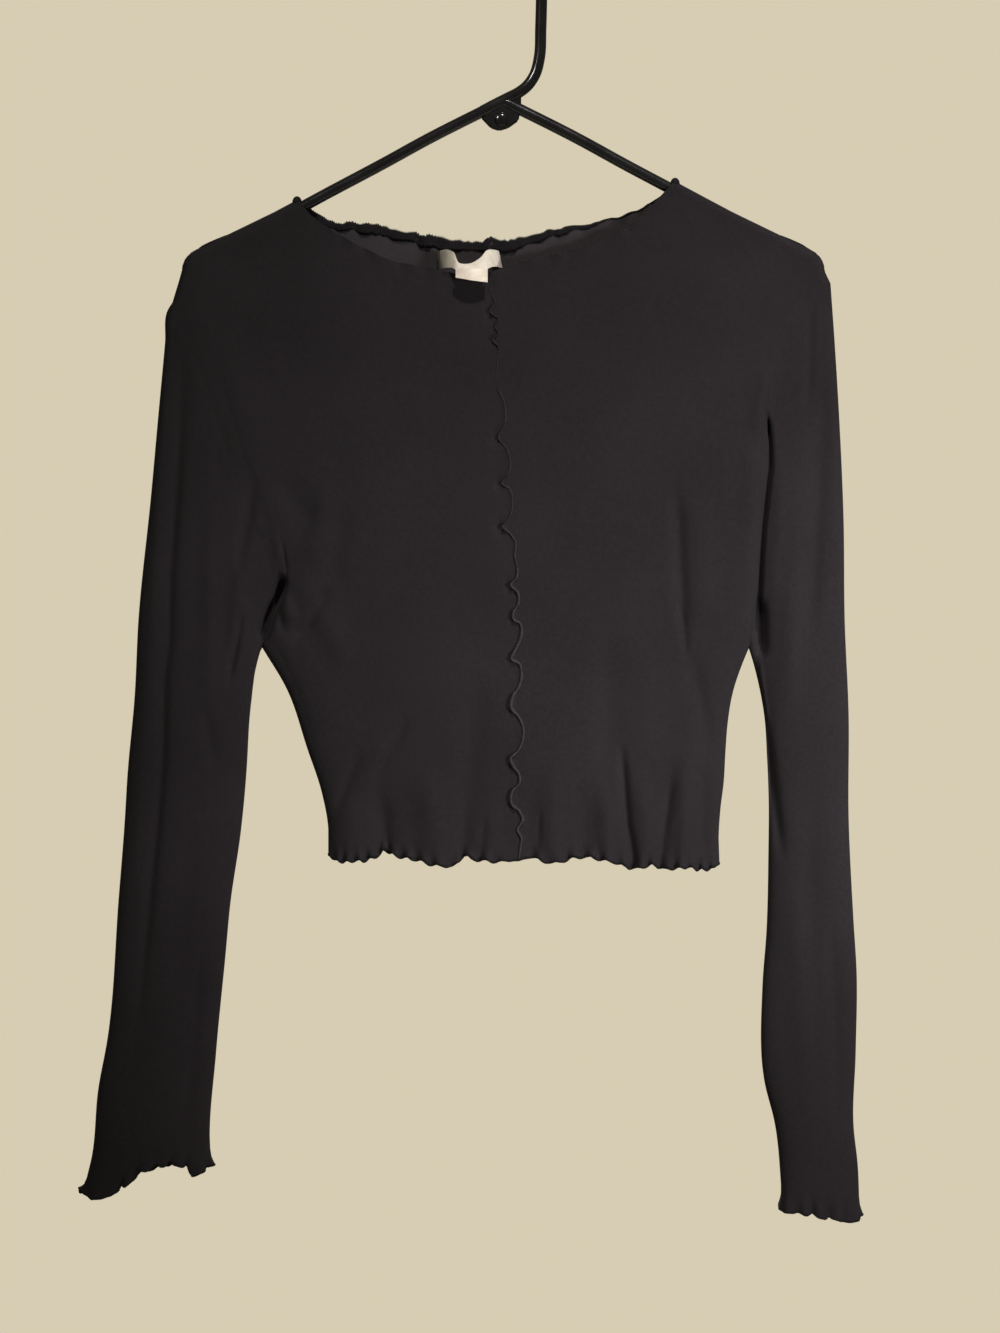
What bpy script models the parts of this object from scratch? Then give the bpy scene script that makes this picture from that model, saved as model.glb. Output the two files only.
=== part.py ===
"""Long-sleeve crop top in light jersey, hanging on a tubular plastic clothes hanger.

Sizes are millimetres until a mesh is made. +X is to the right as seen from the front, the front of
the garment faces -Y, and +Z is up. The origin is the inside top of the hanger's hook.
"""
from collections import namedtuple
from math import cos, exp, pi, radians, sin, sqrt

import bmesh
import bpy
from mathutils import Vector

MM = 0.001

# ---------------------------------------------------------------- driving sizes, mm
WALL = 1.2                # thickness of every cloth wall
SEAM_GAP = 0.3            # clear distance between pieces that are sewn together
SEAM_EDGE = 0.32          # from the seam plane to the middle of a wall that ends there

TUBE_R = 3.8              # hanger tube
HOOK_R = 25.5             # centre line of the hook
HOOK_END = radians(175)   # where the hook's free end stops, from +X
TIP_R = 12.0              # centre line of the rounded hanger ends
WRAP_R = 5.3              # middle of the cloth wall, where it lies over the tube
FOLD_TURNS = (45, 68, 88)  # where the cloth touches the hanger's round end, degrees from the top

NECK_COLUMNS = 7          # coarse columns from the centre to the neck point
SHOULDER_COLUMNS = 7      # and from the neck point to the armhole seam
TIP_COLUMNS = 4           # the last of them, close together round the hanger's end
COLUMN_SPREAD = 0.4       # share of a sine in the columns' spacing, which packs them outwards
LAST_COLUMN = 0.99        # one more column just inside the outer edge
LAST_FINE = 0.98          # the hem's fine columns end here
WAVE_STEPS = 4            # fine columns in each small wave of an edge
WRAP_ANGLES = (0, 30, 60, 90)            # rows round the hanger's tube
NECK_SLANT = 1.13         # those rows stand further apart where the neck edge crosses the tube
NECK_CLEAR = 6.0          # the shoulder line starts this far outside the neck point
NECK_LOWS = (2.0, 1.0, 0.5, 0.134)       # extra columns there: distance from the fold, in wrap radii
NECK_STEP = 0.002         # step of the search for them, as a fraction of the neck edge

# Rows next to each rippled edge: distance from it, and the share of the ripple they carry
NECK_DROPS = (0, 2.6, 5.2, 8.0)
NECK_SHARES = (1.0, 0.55, 0.0, 0.0)
HEM_DROPS = (10.0, 5.4, 2.6, 0.0)
HEM_SHARES = (0.0, 0.3, 0.65, 1.0)
CUFF_DROPS = (8.0, 4.0, 0.0)
CUFF_SHARES = (0.1, 0.6, 1.0)
# Height of the ripples: out of the cloth's face, up along it
NECK_WAVE = (2.0, 1.1)
HEM_WAVE = (2.4, 0.9)
CUFF_WAVE = (2.0, 1.2)
CUFF_WAVES = 10
WAVE_LAG = 1.0            # radians between the two directions of a ripple
NECK_CALM = 6.0           # the larger, the closer a ripple runs to the end of its edge
HEM_CALM = 10.0

SIDE_ROWS = 7             # rows from the armpit to just above the hem
SIDE_END = 0.955          # the last of them, as a fraction of the panel's height
ARMPIT_V = 0.62           # the armpit's fraction of the panel's height
ARM_STATIONS = (0.0, 0.13, 0.26, 0.39, 0.52, 0.65, 0.77, 0.87, 0.95, 1.0)
SLEEVE_RINGS = 18
SLEEVE_BLEND = 0.5        # the armhole's shape has faded out this far down the sleeve
SLEEVE_ROUND = 0.3        # the sleeve has its own depth from here
SLEEVE_CALM = 0.12        # and its full folds from here
SLEEVE_OVAL = 2.5         # exponent of its section, 2 for an ellipse
ARMPIT_PACKING = 1.6      # over 1, rings are closer together on the inner side at the top
CUFF_RUN = 0.97           # the cuff's rows point towards the ring at this fraction
CUFF_OUT = 3.0            # the larger, the more a cuff's ripple stands out of its face

DEPTH_RUN = 70.0          # the body has its full depth this far below the arm
PANEL_SQUARE = 4          # exponent of the body's section: the larger, the flatter its middle
EDGE_ROUND = 0.7          # the panels' outer edge turns round from this share of the armhole on
FOLD_EDGE = 0.12          # folds fade out over this share of a panel, at its outer edge

RUFFLE_DEPTH = 5.5        # how far the seam ruffle stands out
RUFFLE_GAP = 1.05         # from the middle of the front's wall to the ruffle's root
RUFFLE_STEPS = 3          # points from one turn of the ruffle to the next
RUFFLE_SHARES = (0.45, 0.75, 1.0)        # sideways offset at its root, middle and edge
LABEL_WALL = 1.0
LABEL_STEPS = 20
TIP_STEPS = 7             # points round each end of the hanger, up its stem and round its hook
STEM_STEPS = 12
HOOK_STEPS = 14
TUBE_SMOOTH = 3

# ---------------------------------------------------------------- tables
# Hanger arm, centre line: x from the middle, z
HANGER_ARM = ((0, -93.5), (18, -102.3), (49, -118.0), (80, -135.0), (115, -153.6),
              (150, -172.3), (177, -185.4), (201.5, -197.0))
# Stem of the hook, from the left arm's line up to the hook's bend: x, z
HANGER_STEM = ((-14, -100.1), (-3.5, -94.6), (3.7, -91.0), (9.8, -87.9), (15.8, -83.3),
               (21.2, -75.2), (23.9, -64.8), (24.9, -45.0), (25.4, -27.0))
# Web under the hanger's top corner, outline: x, z
HANGER_WEB = ((-15.0, -104.5), (-8.4, -111.4), (-2.8, -113.2), (3.2, -111.4), (10.2, -106.4),
              (11.9, -96.0), (11.9, -89.5), (0, -92))
WEB_WALL = 4.4

# Edge lines seen from the front: x, z. Each runs from the centre seam, or from the top, outwards.
CENTRE_SEAM = ((-8.5, -209.0), (-6.5, -236), (-4.2, -286), (-0.2, -345), (3.2, -379), (7.1, -408),
               (8.5, -425), (8.5, -492), (9.1, -545), (10.4, -598))
NECK_FRONT = {
    "left": ((-8.5, -208.5), (-22, -210.6), (-43, -206.6), (-73, -200.8), (-105, -185.3),
             (-127.2, -170.5), (-137.2, -159.6)),
    "right": ((-8.5, -208.5), (2, -204.0), (37, -196.0), (62, -188.4), (84, -177.5),
              (106.2, -155.6), (114.2, -147.3)),
}
NECK_BACK = {
    "left": ((-8.5, -185.2), (-22, -187.0), (-41, -184.7), (-54, -182.5), (-75, -178.2),
             (-94, -175.0), (-117.9, -172.4), (-128, -166.0), (-137.2, -159.6)),
    "right": ((-8.5, -185.2), (4.5, -186.2), (24, -181.0), (54, -175.0), (86, -166.8),
              (99, -160.4), (108, -153.8), (114.2, -147.3)),
}
SHOULDER_END = {"left": (-219.7, -227.6), "right": (217.3, -215.0)}
ARMHOLE = {
    "left": ((-204, -262), (-191.5, -299), (-178.5, -340), (-165, -376), (-154.5, -402),
             (-151.5, -421), (-154.0, -439), (-160.5, -455.7)),
    "right": ((205, -238), (191.5, -262), (181.5, -290), (176.8, -318), (174.5, -350),
              (172, -382), (168.5, -418), (163.4, -455.7)),
}
SIDE_SEAM = {
    "left": ((-160.5, -455.7), (-143.2, -485), (-129.9, -524), (-120.6, -552), (-116.2, -575),
             (-116.0, -595.0)),
    "right": ((163.4, -455.7), (158.7, -467), (152.1, -487), (148.8, -507), (147.4, -525),
              (146.1, -547), (144.1, -563), (142.8, -588), (143.4, -601.0)),
}
HEM_FRONT = {
    "left": ((10.4, -597.2), (-2, -598.0), (-17, -597.3), (-26.8, -595.0), (-31.5, -600.4),
             (-45.4, -600.7), (-56, -597.5), (-71.4, -594.7), (-77.3, -590.2), (-82.7, -594.7),
             (-100, -598.7), (-111, -598.0), (-116.0, -595.0)),
    "right": ((10.4, -597.2), (18.4, -595.3), (28.4, -598.7), (54.3, -595.3), (71.6, -598.7),
              (88.5, -603.0), (97.5, -601.2), (107, -603.3), (121.5, -602.7), (136, -604.4),
              (143.4, -601.0)),
}
HEM_BACK = {
    "left": ((10.4, -594.8), (-22, -593.2), (-54, -595.4), (-86, -592.0), (-116.0, -595.0)),
    "right": ((10.4, -594.8), (54, -593.0), (90, -598.0), (120, -597.0), (143.4, -601.0)),
}
SLEEVE_OUTER = {
    "left": ((-219.7, -227.6), (-224.6, -254), (-229.2, -304), (-233.8, -355), (-242.2, -438),
             (-244.8, -490), (-249.4, -540), (-251.4, -573), (-255.4, -624), (-263.0, -718),
             (-268.9, -750), (-273.2, -795), (-280.0, -822.0)),
    "right": ((217.3, -215.0), (219.9, -252), (223.2, -307), (225.9, -372), (226.6, -438),
              (229.2, -501), (229.2, -569), (232.5, -639), (234.5, -672), (233.9, -726),
              (232.5, -775), (235.2, -800), (236.5, -835.0)),
}
SLEEVE_INNER = {
    "left": ((-160.5, -455.7), (-165.5, -466), (-168.9, -480), (-170.0, -500), (-171.0, -535),
             (-174.8, -578), (-181.9, -627), (-185.2, -662), (-191.4, -726), (-195.4, -790),
             (-194.4, -803.0)),
    "right": ((163.4, -455.7), (166.3, -465), (170.3, -481), (174.0, -502), (175.8, -530),
              (176.9, -560), (176.7, -591), (175.4, -645), (172.7, -682), (174.0, -745),
              (180.7, -772), (186.0, -827.0)),
}

# Half of the body's depth, to the middle of the wall: z, front, back
BODY_DEPTH = ((-150, 8.0, 8.0), (-210, 10.0, 9.0), (-300, 13.0, 11.5), (-400, 13.5, 12.0),
              (-470, 12.5, 12.5), (-605, 13.0, 13.5))
# Half depth along the armhole seam, which lies deep in a crease below: fraction of its length, depth
ARMHOLE_DEPTH = {
    "left": ((0, 5.3), (0.2, 7.5), (0.5, 8.2), (0.72, 6.8), (0.85, 4.2), (0.94, 3.0), (1, SEAM_EDGE)),
    "right": ((0, 5.3), (0.18, 7.0), (0.4, 5.2), (0.65, 4.4), (0.94, 3.0), (1, SEAM_EDGE)),
}
# How far apart the two walls are set along that seam: wider where they meet at a corner
ARMHOLE_GAP = {
    "left": ((0, 0.3), (0.6, 0.4), (0.8, 1.0), (0.93, 1.4), (1, 1.6)),
    "right": ((0, 0.3), (0.2, 0.5), (0.4, 1.0), (0.65, 1.2), (0.93, 1.4), (1, 1.6)),
}
# Half of the sleeve's depth: fraction of its length, depth
SLEEVE_DEPTH = ((0, 8.0), (0.2, 9.0), (0.45, 9.0), (0.8, 9.5), (1, 10.5))
# How far the cuff's edge is drawn up: share of the way from its outer to its inner fold, rise
CUFF_RISE = {
    "left": ((0, 0.0), (0.3, 0.5), (0.45, 6.0), (0.6, 8.0), (0.8, 5.0), (1, 0.0)),
    "right": ((0, 0.0), (0.5, 1.5), (1, 0.0)),
}

Fold = namedtuple("Fold", "x_top z_top x_bottom z_bottom half_width height")
FOLDS = {
    "front": (
        Fold(-144, -345, -118, -378, 12, 2.5),
        Fold(-112, -350, -124, -405, 10, 2.5),
        Fold(-146, -437, -136, -450, 7, -2.5),
        Fold(-132, -448, -114, -419, 8, -2.5),
        Fold(116, -370, 120, -455, 9, -3.0),
        Fold(126, -460, 138, -530, 9, -2.5),
        Fold(68, -450, 69, -525, 15, -2.0),
        Fold(-66, -512, -86, -545, 8, -3.0),
        Fold(-94, -525, -108, -560, 7, -2.5),
        Fold(-18, -490, -25, -560, 13, -2.5),
        Fold(-100, -570, -102, -612, 11, 3.5),
        Fold(-80, -565, -77, -612, 7, -4.0),
        Fold(-50, -550, -43, -612, 11, 3.5),
        Fold(-25, -570, -26.5, -612, 6, -3.5),
        Fold(-8, -565, -8, -612, 8, 3.0),
        Fold(20, -555, 18.4, -612, 7, -4.0),
        Fold(33, -550, 31, -612, 7, 4.0),
        Fold(50, -560, 54, -612, 10, -3.5),
        Fold(68, -560, 69, -612, 7, 3.0),
        Fold(79, -535, 80, -612, 6, -4.0),
        Fold(90, -550, 93, -612, 7, 3.0),
        Fold(107, -540, 101, -612, 6, -3.0),
        Fold(119, -540, 118, -612, 8, 4.0),
        Fold(131, -560, 131, -612, 6, -3.0),
    ),
    "back": (
        Fold(-130, -400, -105, -440, 12, 2.5),
        Fold(134, -395, 108, -440, 12, 2.5),
        Fold(-96, -480, -88, -605, 11, -4.0),
        Fold(-60, -520, -58, -605, 12, 4.0),
        Fold(-24, -500, -20, -605, 12, -4.0),
        Fold(16, -530, 18, -605, 11, 3.5),
        Fold(52, -490, 56, -605, 12, -4.5),
        Fold(92, -520, 96, -605, 11, 4.0),
        Fold(122, -540, 124, -605, 8, -3.0),
    ),
}
SLEEVE_FOLDS = {
    "front": (
        Fold(-208, -268, -213, -345, 10, 2.0),
        Fold(-186, -320, -190, -345, 8, -2.0),
        Fold(-164, -352, -173, -404, 8, -2.5),
        Fold(-173, -430, -179, -472, 7, -2.5),
        Fold(-209, -240, -221, -475, 7, -2.0),
        Fold(-226, -500, -246, -735, 9, -2.0),
        Fold(202, -234, 202, -283, 8, -2.0),
        Fold(212, -283, 206, -455, 9, -2.0),
        Fold(170, -450, 181, -532, 8, 2.0),
        Fold(174, -515, 184, -592, 7, -2.5),
        Fold(208, -560, 200, -690, 14, 1.8),
    ),
    "back": (
        Fold(-196, -300, -186, -420, 10, -2.5),
        Fold(-222, -380, -214, -520, 9, 2.0),
        Fold(-196, -500, -232, -640, 9, -2.0),
        Fold(198, -280, 188, -420, 10, -2.5),
        Fold(210, -400, 206, -540, 9, 2.0),
        Fold(184, -520, 214, -650, 9, -2.0),
    ),
}
FOLD_FADE = 0.25          # part of a fold's length over which it fades in and out

# Turns of the ruffle's outer edge, from the top: z, sideways offset
RUFFLE_TURNS = ((-212, 0.0), (-229, -1.6), (-234, 1.6), (-239, -1.5), (-244, 1.5), (-250, -1.5),
                (-256, 1.2), (-268, -0.4), (-284, 0.4), (-300, 3.0), (-318.5, -3.4), (-327, 2.8),
                (-346.5, -3.4), (-357.5, 3.0), (-375, -3.4), (-392.5, 3.5), (-415.5, -3.4),
                (-426, 2.6), (-438.5, -3.2), (-449, 3.0), (-464, -3.4), (-475, 3.2),
                (-493.5, -3.5), (-515, 3.5), (-531, -3.4), (-543, 3.2), (-560, -3.2),
                (-569.5, 2.6), (-578.5, -2.6), (-588, 2.4), (-596, 0.0))

# Satin loop at the back neck, its upper and lower edge: x, y, z of each
LABEL_LOOP = (((-44.4, 7.8, -193.0), (-43.0, 7.8, -205.0)),
              ((-41.5, 0.0, -192.7), (-41.0, 0.0, -205.0)),
              ((-37.0, -7.5, -192.9), (-37.5, -8.5, -204.9)),
              ((-32.5, -12.5, -195.8), (-33.5, -14.5, -205.8)),
              ((-29.6, -14.8, -200.0), (-29.6, -18.4, -207.2)),
              ((-21.5, -15.0, -200.8), (-21.5, -20.0, -208.0)),
              ((-15.6, -13.5, -197.5), (-12.9, -18.0, -206.8)),
              ((-10.8, -8.0, -193.4), (-6.5, -9.5, -204.4)),
              ((-5.0, 0.0, -192.4), (-2.6, 0.0, -203.8)),
              ((-3.0, 7.8, -192.3), (-0.7, 7.8, -203.6)))
# Tab below the middle of the loop, from its left to its right edge: x, y, upper z, lower z
TAB_EDGE = ((-31.4, -18.0, -208.4, -212.6), (-26.5, -19.0, -208.9, -213.4),
            (-21.5, -19.4, -209.2, -214.1), (-16.0, -18.9, -208.9, -214.7),
            (-10.4, -17.4, -208.2, -215.1))

FACES = {"front": -1.0, "back": 1.0}
PALETTE = {
    "cloth": ((0.021, 0.018, 0.019), 0.85),
    "hanger": ((0.012, 0.012, 0.013), 0.35),
    "label": ((0.66, 0.61, 0.52), 0.55),
}


# ---------------------------------------------------------------- numbers and curves
def mix(a, b, t):
    return a + (b - a) * t


def ease(t):
    """0 to 1 with level ends."""
    t = min(max(t, 0.0), 1.0)
    return t * t * (3 - 2 * t)


def table_value(rows, at, column=1):
    """Value of a column, read between the rows of a table sorted either way on its first column."""
    rows = sorted(rows)
    if at <= rows[0][0]:
        return rows[0][column]
    for low, high in zip(rows, rows[1:]):
        if at <= high[0]:
            return mix(low[column], high[column], (at - low[0]) / (high[0] - low[0]))
    return rows[-1][column]


def smooth_curve(points):
    """A function that gives the point at a fraction of the length of a smooth curve."""
    spots = [Vector(point) for point in points]
    steps = [(b - a).length for a, b in zip(spots, spots[1:])]
    marks = [sum(steps[:i]) for i in range(len(spots))]
    chords = [(b - a) / step for a, b, step in zip(spots, spots[1:], steps)]
    slopes = [chords[0]]
    for i in range(1, len(spots) - 1):
        weight = steps[i - 1] / (steps[i - 1] + steps[i])
        slopes.append(chords[i - 1].lerp(chords[i], weight))
    slopes.append(chords[-1])

    def place(t):
        s = min(max(t, 0.0), 1.0) * marks[-1]
        i = 0
        while i < len(steps) - 1 and marks[i + 1] < s:
            i += 1
        r = (s - marks[i]) / steps[i]
        near = spots[i] * (2 * r**3 - 3 * r**2 + 1) + slopes[i] * (steps[i] * (r**3 - 2 * r**2 + r))
        far = spots[i + 1] * (3 * r**2 - 2 * r**3) + slopes[i + 1] * (steps[i] * (r**3 - r**2))
        return near + far

    return place


def station_marks(points):
    """Fractions of the shoulder's length where its columns stand: close together round the tip."""
    steps = [(b - a).length for a, b in zip(points, points[1:])]
    marks = [sum(steps[:i]) / sum(steps) for i in range(len(points))]
    tip = marks[-TIP_COLUMNS - 1:]
    arm = SHOULDER_COLUMNS - TIP_COLUMNS
    return [tip[0] * i / arm for i in range(arm)] + tip


def direction(curve, t, step=0.004):
    """Unit tangent of a curve function."""
    return (curve(min(t + step, 1)) - curve(max(t - step, 0))).normalized()


def fold_height(folds, x, z):
    """Height of the soft troughs and ridges at a point, seen from the front."""
    total = 0.0
    here = Vector((x, z))
    for fold in folds:
        top = Vector((fold.x_top, fold.z_top))
        run = Vector((fold.x_bottom, fold.z_bottom)) - top
        t = (here - top).dot(run) / run.length_squared
        if -FOLD_FADE < t < 1 + FOLD_FADE:
            across = (here - top - run * t).length / fold.half_width
            start, end = ((s + FOLD_FADE) / (2 * FOLD_FADE) for s in (t, 1 - t))
            total += fold.height * ease(start) * ease(end) * exp(-across * across)
    return total


# ---------------------------------------------------------------- hanger lines
def arm_points():
    """Centre line of the right arm and its rounded end, to the bottom bar: x, z."""
    points = [Vector(point) for point in HANGER_ARM]
    heading = (points[-1] - points[-2]).normalized()
    centre = points[-1] + Vector((heading.y, -heading.x)) * TIP_R
    start = Vector((0, 1)).angle_signed(points[-1] - centre)
    turn = pi - start
    for i in range(1, TIP_STEPS + 1):
        angle = start + turn * i / TIP_STEPS
        points.append(centre + Vector((sin(angle), cos(angle))) * TIP_R)
    return points, centre


def shoulder_line(side):
    """Fold of the cloth over the arm, from above the hanger's middle to the armhole seam."""
    points, centre = arm_points()
    arm = points[:len(HANGER_ARM)]
    line = []
    for i, point in enumerate(arm):
        heading = (arm[min(i + 1, len(arm) - 1)] - arm[max(i - 1, 0)]).normalized()
        line.append(point + Vector((-heading.y, heading.x)) * WRAP_R)
    start = Vector((0, 1)).angle_signed(arm[-1] - centre)
    for angle in (radians(degrees) for degrees in FOLD_TURNS):
        if angle > start:
            line.append(centre + Vector((sin(angle), cos(angle))) * (TIP_R + WRAP_R))
    flip = -1 if side == "left" else 1
    line = [Vector((flip * p.x, p.y)) for p in line]
    return line + [Vector(SHOULDER_END[side])]


def build_lines():
    """All the curves that the panels and sleeves share, for each side."""
    lines = {}
    for side in ("left", "right"):
        line = shoulder_line(side)
        neck = Vector(NECK_FRONT[side][-1])
        outer = [p for p in line if abs(p.x) > abs(neck.x) + NECK_CLEAR]
        shoulder, shoulder_marks = smooth_curve([neck] + outer), station_marks([neck] + outer)
        end_heading = direction(shoulder, 1)
        inward = Vector((-end_heading.y, end_heading.x))
        if inward.x * neck.x > 0:
            inward = -inward
        armhole_top = Vector(SHOULDER_END[side]) + inward * WRAP_R
        lines[side] = {
            "fold": line,
            "shoulder": shoulder,
            "shoulder_marks": shoulder_marks,
            "front": smooth_curve(NECK_FRONT[side]),
            "back": smooth_curve(NECK_BACK[side]),
            "armhole": smooth_curve([armhole_top] + list(ARMHOLE[side])),
            "side_seam": smooth_curve(SIDE_SEAM[side]),
            "hem_front": smooth_curve(HEM_FRONT[side]),
            "hem_back": smooth_curve(HEM_BACK[side]),
            "outer": smooth_curve(SLEEVE_OUTER[side]),
            "inner": smooth_curve(SLEEVE_INNER[side]),
            "inward": inward,
        }
    return lines


LINES = build_lines()
CENTRE = smooth_curve(CENTRE_SEAM)


def below_fold(side, spot):
    """Distance from the fold over the hanger's arm."""
    line = LINES[side]["fold"]
    best = 1e9
    for a, b in zip(line, line[1:]):
        run = b - a
        t = min(max((spot - a).dot(run) / run.length_squared, 0), 1)
        best = min(best, (spot - a - run * t).length)
    return best


# ---------------------------------------------------------------- body panels
NECK_W = NECK_COLUMNS / (NECK_COLUMNS + SHOULDER_COLUMNS)


def top_spot(side, face, w):
    """Point of the neck or shoulder edge, and the way into the panel from there."""
    lines = LINES[side]
    down = Vector((0, -1))
    if w < NECK_W - 1e-6:
        return lines[face](w / NECK_W), down
    shoulder = lines["shoulder"]
    place = (w - NECK_W) / (1 - NECK_W) * SHOULDER_COLUMNS
    column = min(int(place + 1e-6), SHOULDER_COLUMNS - 1)
    marks = lines["shoulder_marks"]
    t = mix(marks[column], marks[column + 1], place - column)
    heading = direction(shoulder, t)
    into = Vector((-heading.y, heading.x))
    if into.x * shoulder(0).x > 0:
        into = -into
    return shoulder(t), down.lerp(into, ease(place)).normalized()


def top_drops(side, face, w):
    """Distances of the first rows from the top edge: round the tube, or plain at the neck."""
    spot, _ = top_spot(side, face, w)
    free = 1.0 if w < NECK_W - 1e-6 else 0.0
    free *= min(below_fold(side, spot) / WRAP_R, 1.0)
    slant = NECK_SLANT if w < NECK_W + 1e-6 else 1.0
    wrap = [slant * WRAP_R * (1 - cos(radians(angle))) for angle in WRAP_ANGLES]
    return [mix(tight, loose, free) for tight, loose in zip(wrap, NECK_DROPS)]


def panel_depth(side, face, w, spot, edge_depth, roundness=1.0):
    """Half depth of the body at a spot; it narrows to the depth at the outer edge."""
    low = below_fold(side, spot)
    if low < WRAP_R:
        return max(sqrt(max(WRAP_R**2 - (WRAP_R - low) ** 2, 0)), SEAM_EDGE)
    full = table_value(BODY_DEPTH, spot.y, 1 if face == "front" else 2)
    full = mix(WRAP_R, full, ease((low - WRAP_R) / DEPTH_RUN))
    folds = fold_height(FOLDS[face], spot.x, spot.y) * ease((1 - w) / FOLD_EDGE)
    round_off = max(1 - w**PANEL_SQUARE, 0) ** mix(1.0, 0.5, roundness)
    return edge_depth + (full - edge_depth) * round_off + folds


def panel_spot(side, face, w, v):
    """Point of the panel below its top rows, seen from the front, and its outer edge's depth."""
    lines = LINES[side]
    hem = lines["hem_" + face]
    across = mix(w, sin(w * pi / 2), COLUMN_SPREAD)

    def top(w_at):
        spot, into = top_spot(side, face, w_at)
        return spot + into * top_drops(side, face, w_at)[-1]

    def outer(v_at):
        if v_at <= ARMPIT_V:
            return lines["armhole"](v_at / ARMPIT_V)
        return lines["side_seam"]((v_at - ARMPIT_V) / (1 - ARMPIT_V))

    corners = (top(0), top(1), hem(0), hem(1))
    centre = CENTRE(mix((top(0).y - CENTRE(0).y) / (CENTRE(1).y - CENTRE(0).y), 1, v))
    spot = top(w) * (1 - v) + hem(across) * v
    spot += centre * (1 - across) + outer(v) * across
    spot -= (corners[0] * (1 - across) + corners[1] * across) * (1 - v)
    spot -= (corners[2] * (1 - across) + corners[3] * across) * v
    if v < ARMPIT_V:
        return spot, table_value(ARMHOLE_DEPTH[side], v / ARMPIT_V)
    return spot, SEAM_EDGE


def column_marks():
    """Fractions of the coarse columns, with one more close to the outer edge."""
    count = NECK_COLUMNS + SHOULDER_COLUMNS
    return [i / count for i in range(count)] + [LAST_COLUMN, 1.0]


def fine_marks(end):
    """Fractions of the fine columns up to a limit."""
    count = (NECK_COLUMNS + SHOULDER_COLUMNS) * WAVE_STEPS
    return [i / count for i in range(count) if i / count <= end + 1e-6]


def neck_marks(side, face):
    """Fine columns of the neck edge, closer together where it comes down off the tube."""
    step = 1 / (NECK_COLUMNS + SHOULDER_COLUMNS)
    marks = fine_marks(NECK_W - step)
    for low in NECK_LOWS:
        t = 1.0
        while below_fold(side, LINES[side][face](t)) < low * WRAP_R:
            t -= NECK_STEP
        marks.append(t * NECK_W)
    return marks + column_marks()[NECK_COLUMNS:]


def neck_wave(side, w):
    """Out and up shift of the neck edge's small waves, which run on across the centre."""
    if w >= NECK_W:
        return 0.0, 0.0
    calm = ease((NECK_W - w) * NECK_CALM)
    phase = 2 * pi * NECK_COLUMNS * w / NECK_W * (-1 if side == "left" else 1)
    return NECK_WAVE[0] * calm * sin(phase), NECK_WAVE[1] * calm * sin(phase + WAVE_LAG)


def hem_wave(side, w):
    """Out and up shift of the hem's small waves."""
    calm = ease(w * HEM_CALM) * ease((1 - w) * HEM_CALM)
    phase = 2 * pi * (NECK_COLUMNS + SHOULDER_COLUMNS) * w * (-1 if side == "left" else 1)
    return HEM_WAVE[0] * calm * sin(phase), HEM_WAVE[1] * calm * sin(phase + WAVE_LAG)


def top_rows(side, face):
    """The rows round the tube and below the neck edge."""
    rows = []
    for k, share in enumerate(NECK_SHARES):
        row = []
        for w in neck_marks(side, face) if share > 0 else column_marks():
            spot, into = top_spot(side, face, w)
            spot = spot + into * top_drops(side, face, w)[k]
            out, up = neck_wave(side, w)
            depth = panel_depth(side, face, w, spot, WRAP_R)
            row.append((w, (spot.x, FACES[face] * (depth + out * share), spot.y + up * share)))
        rows.append(row)
    return rows


def panel_rows(side, face):
    """All the rows of one half of the front or back, from its top edge to the hem."""
    rows = top_rows(side, face)
    levels = [t * ARMPIT_V for t in ARM_STATIONS[1:]]
    levels += [mix(ARMPIT_V, SIDE_END, (i + 1) / SIDE_ROWS) for i in range(SIDE_ROWS)]
    for v in levels:
        row = []
        for w in column_marks():
            spot, edge_depth = panel_spot(side, face, w, v)
            roundness = ease((v / ARMPIT_V - EDGE_ROUND) / (1 - EDGE_ROUND))
            depth = panel_depth(side, face, w, spot, edge_depth, roundness)
            row.append((w, (spot.x, FACES[face] * depth, spot.y)))
        rows.append(row)
    fine = fine_marks(LAST_FINE) + [LAST_COLUMN, 1.0]
    for drop, share in zip(HEM_DROPS, HEM_SHARES):
        row = []
        for w in fine if share > 0 else column_marks():
            base, _ = panel_spot(side, face, w, 1.0)
            above, _ = panel_spot(side, face, w, SIDE_END)
            spot = base + (above - base).normalized() * drop
            out, up = hem_wave(side, w)
            depth = panel_depth(side, face, w, spot, SEAM_EDGE)
            row.append((w, (spot.x, FACES[face] * (depth + out * share), spot.y + up * share)))
        rows.append(row)
    return rows


# ---------------------------------------------------------------- sleeves
def half_ring(h, count):
    """Share of the way from the outer to the inner fold, and share of the depth, on an oval."""
    angle = pi * h / count
    power = 2 / SLEEVE_OVAL
    side = (abs(cos(angle)) ** power) * (1 if cos(angle) >= 0 else -1)
    return (1 - side) / 2, abs(sin(angle)) ** power


def armhole_stations(side):
    """Points of the armhole seam from the shoulder to the armpit, on the sleeve's side of the gap."""
    lines = LINES[side]
    flip = -1 if side == "left" else 1
    stations = []
    for angle in WRAP_ANGLES[:-1]:
        low = WRAP_R * (1 - cos(radians(angle)))
        depth = WRAP_R * sin(radians(angle))
        away = Vector((lines["inward"].y * flip, -lines["inward"].x * flip))
        away = away if away.y < 0 else -away
        spot = Vector(SHOULDER_END[side]) + lines["inward"] * low + away * SEAM_GAP
        stations.append((spot, depth))
    for t in ARM_STATIONS:
        heading = direction(lines["armhole"], t)
        away = Vector((heading.y, -heading.x))
        if away.x * flip < 0:
            away = -away
        spot = lines["armhole"](t) + away * table_value(ARMHOLE_GAP[side], t)
        stations.append((spot, table_value(ARMHOLE_DEPTH[side], t) if t < 1 else 0.0))
    return stations


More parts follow.
